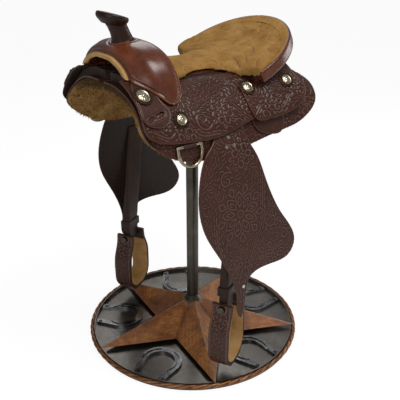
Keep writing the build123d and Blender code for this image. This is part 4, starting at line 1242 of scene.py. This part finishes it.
def conchos(plan):
    lift = Matrix.Translation((0, 0, plan["lift"] * mm))
    places = [(radius, archFrame(y, angle, level) @ lift) for y, angle, radius, level in plan["places"]]
    bm = bmesh.new()
    for radius, place in places:
        conchoShape(bm, radius, place, plan)
    bmesh.ops.remove_doubles(bm, verts=bm.verts, dist=0.005 * mm)
    bmesh.ops.recalc_face_normals(bm, faces=bm.faces)
    obj = newObject("conchos", bm)
    points = readPoints(obj.data)
    shares = np.full(len(points), 9.0)
    lows = np.zeros(len(points))
    for radius, place in places:
        x, y, high = inFrame(points, place).T
        share = np.hypot(x, y) / radius
        mine = (share < 1.05) & (np.abs(high) < 8)
        shares[mine] = share[mine]
        flute = (0.5 - 0.5 * np.cos(8 * np.arctan2(y, x))) * bell(share, 0.5, 0.16)
        lows[mine] = np.clip(flute + bands(share, [(1, 0.72, 0.03), (0.8, 0.18, 0.04)]), 0, 1)[mine]
    writeValues(obj, gilt=np.clip((shares - 0.74) / 0.04, 0, 1), ink=0.28 * lows)
    dress(obj, steels["concho"])
    mirrorInto(obj)
    finishPiece(obj, "conchos")


rosetteLook = {"voxel": 0.95, "line": [(-0.45, 2.3, 0.6)]}


def rosettePiece(look):
    obj, points, normals, edge = fineMesh("rosettes", "rosettes", look["voxel"], 2)
    cut = bands(edge, look["line"])
    pushOut(obj, points, normals, cut - softRim(edge, 0.8) * 0.6)
    # Painted shade in the edge groove
    writeValues(obj, tool=cut, rim=fadeOut(edge, 0, 0.9) * 0.7)
    dress(obj, leathers["wrapped"])
    finishPiece(obj, "rosettes")


ropeRing(ropePlan)
conchos(conchoPlan)
rosettePiece(rosetteLook)
print("rope ring and conchos")


# Stage, lamps and camera

stageLook = {"size": 40.0, "floor": (0.86, 0.86, 0.86), "world": 0.36, "glossy": 0.2, "glow": 1.12,
             "share": 0.8}
lamps = {"keyLamp": {"place": (0.9, 0.2, 2.3), "target": (0, 0, 0.7), "size": 0.9, "power": 17},
         "fillLamp": {"place": (1.6, -2.2, 1.5), "target": (0, 0, 0.5), "size": 1.4, "power": 11},
         "backLamp": {"place": (-1.6, 0.9, 2.0), "target": (0, 0, 0.6), "size": 1.2, "power": 6},
         "sideLamp": {"place": (0.35, 2.4, 0.9), "target": (0, 0.2, 0.7), "size": 1.2, "power": 9}}
cameraLook = {"place": (1.2896, -0.9540, 1.1471), "turn": (65.232, 0, 52.744), "lens": 57.58, "sensor": 36}


# 1 for what the camera sees, also through something clear, and 0 for light and reflections
def seenDirectly(tree, rays):
    return mathOf(tree, "MAXIMUM", rays["Is Camera Ray"], rays["Is Transmission Ray"])


def paleFloor(look):
    bm = bmesh.new()
    bmesh.ops.create_grid(bm, x_segments=2, y_segments=2, size=look["size"])
    floor = newObject("floor", bm)
    mat, tree, shader, place = startMaterial("paleFloor")
    speck = rangeOf(tree, noiseOf(tree, place, 3, 3), 0.3, 0.7, 0, 0.3)
    colour = mixOf(tree, speck, look["floor"], tint(look["floor"], 1.04))
    shade(tree, shader, colour, None, None, Roughness=0.9)
    seen = seenDirectly(tree, add(tree, "LightPath").outputs)
    glow = add(tree, "Emission", {"Color": (1, 1, 1, 1), "Strength": look["glow"]}).outputs[0]
    mixed = add(tree, "MixShader", {0: times(tree, seen, look["share"]), 1: shader.outputs[0], 2: glow})
    tree.links.new(mixed.outputs[0], tree.nodes["Material Output"].inputs["Surface"])
    dress(floor, mat)


def softWorld(look):
    world = bpy.data.worlds.new("softWorld")
    bpy.context.scene.world = world
    world.use_nodes = True
    tree = world.node_tree
    rays = add(tree, "LightPath").outputs
    strength = rangeOf(tree, rays["Is Glossy Ray"], 0, 1, look["world"], look["glossy"])
    strength = mathOf(tree, "MAXIMUM", strength, seenDirectly(tree, rays))
    back = tree.nodes["Background"]
    back.inputs["Color"].default_value = (1, 1, 1, 1)
    tree.links.new(strength, back.inputs["Strength"])


def areaLamp(name, look):
    lamp = bpy.data.lights.new(name, "AREA")
    lamp.shape, lamp.size, lamp.energy = "DISK", look["size"], look["power"]
    obj = linked(name, lamp)
    obj.location = look["place"]
    obj.rotation_euler = (Vector(look["target"]) - Vector(look["place"])).to_track_quat("-Z", "Y").to_euler()


def makeCamera(look):
    data = bpy.data.cameras.new("camera")
    data.lens, data.sensor_width = look["lens"], look["sensor"]
    camera = linked("camera", data)
    camera.location = look["place"]
    camera.rotation_euler = [math.radians(angle) for angle in look["turn"]]
    bpy.context.scene.camera = camera


paleFloor(stageLook)
softWorld(stageLook)
for name, look in lamps.items():
    areaLamp(name, look)
makeCamera(cameraLook)
bpy.context.scene.view_settings.view_transform = "Standard"
print("stage")
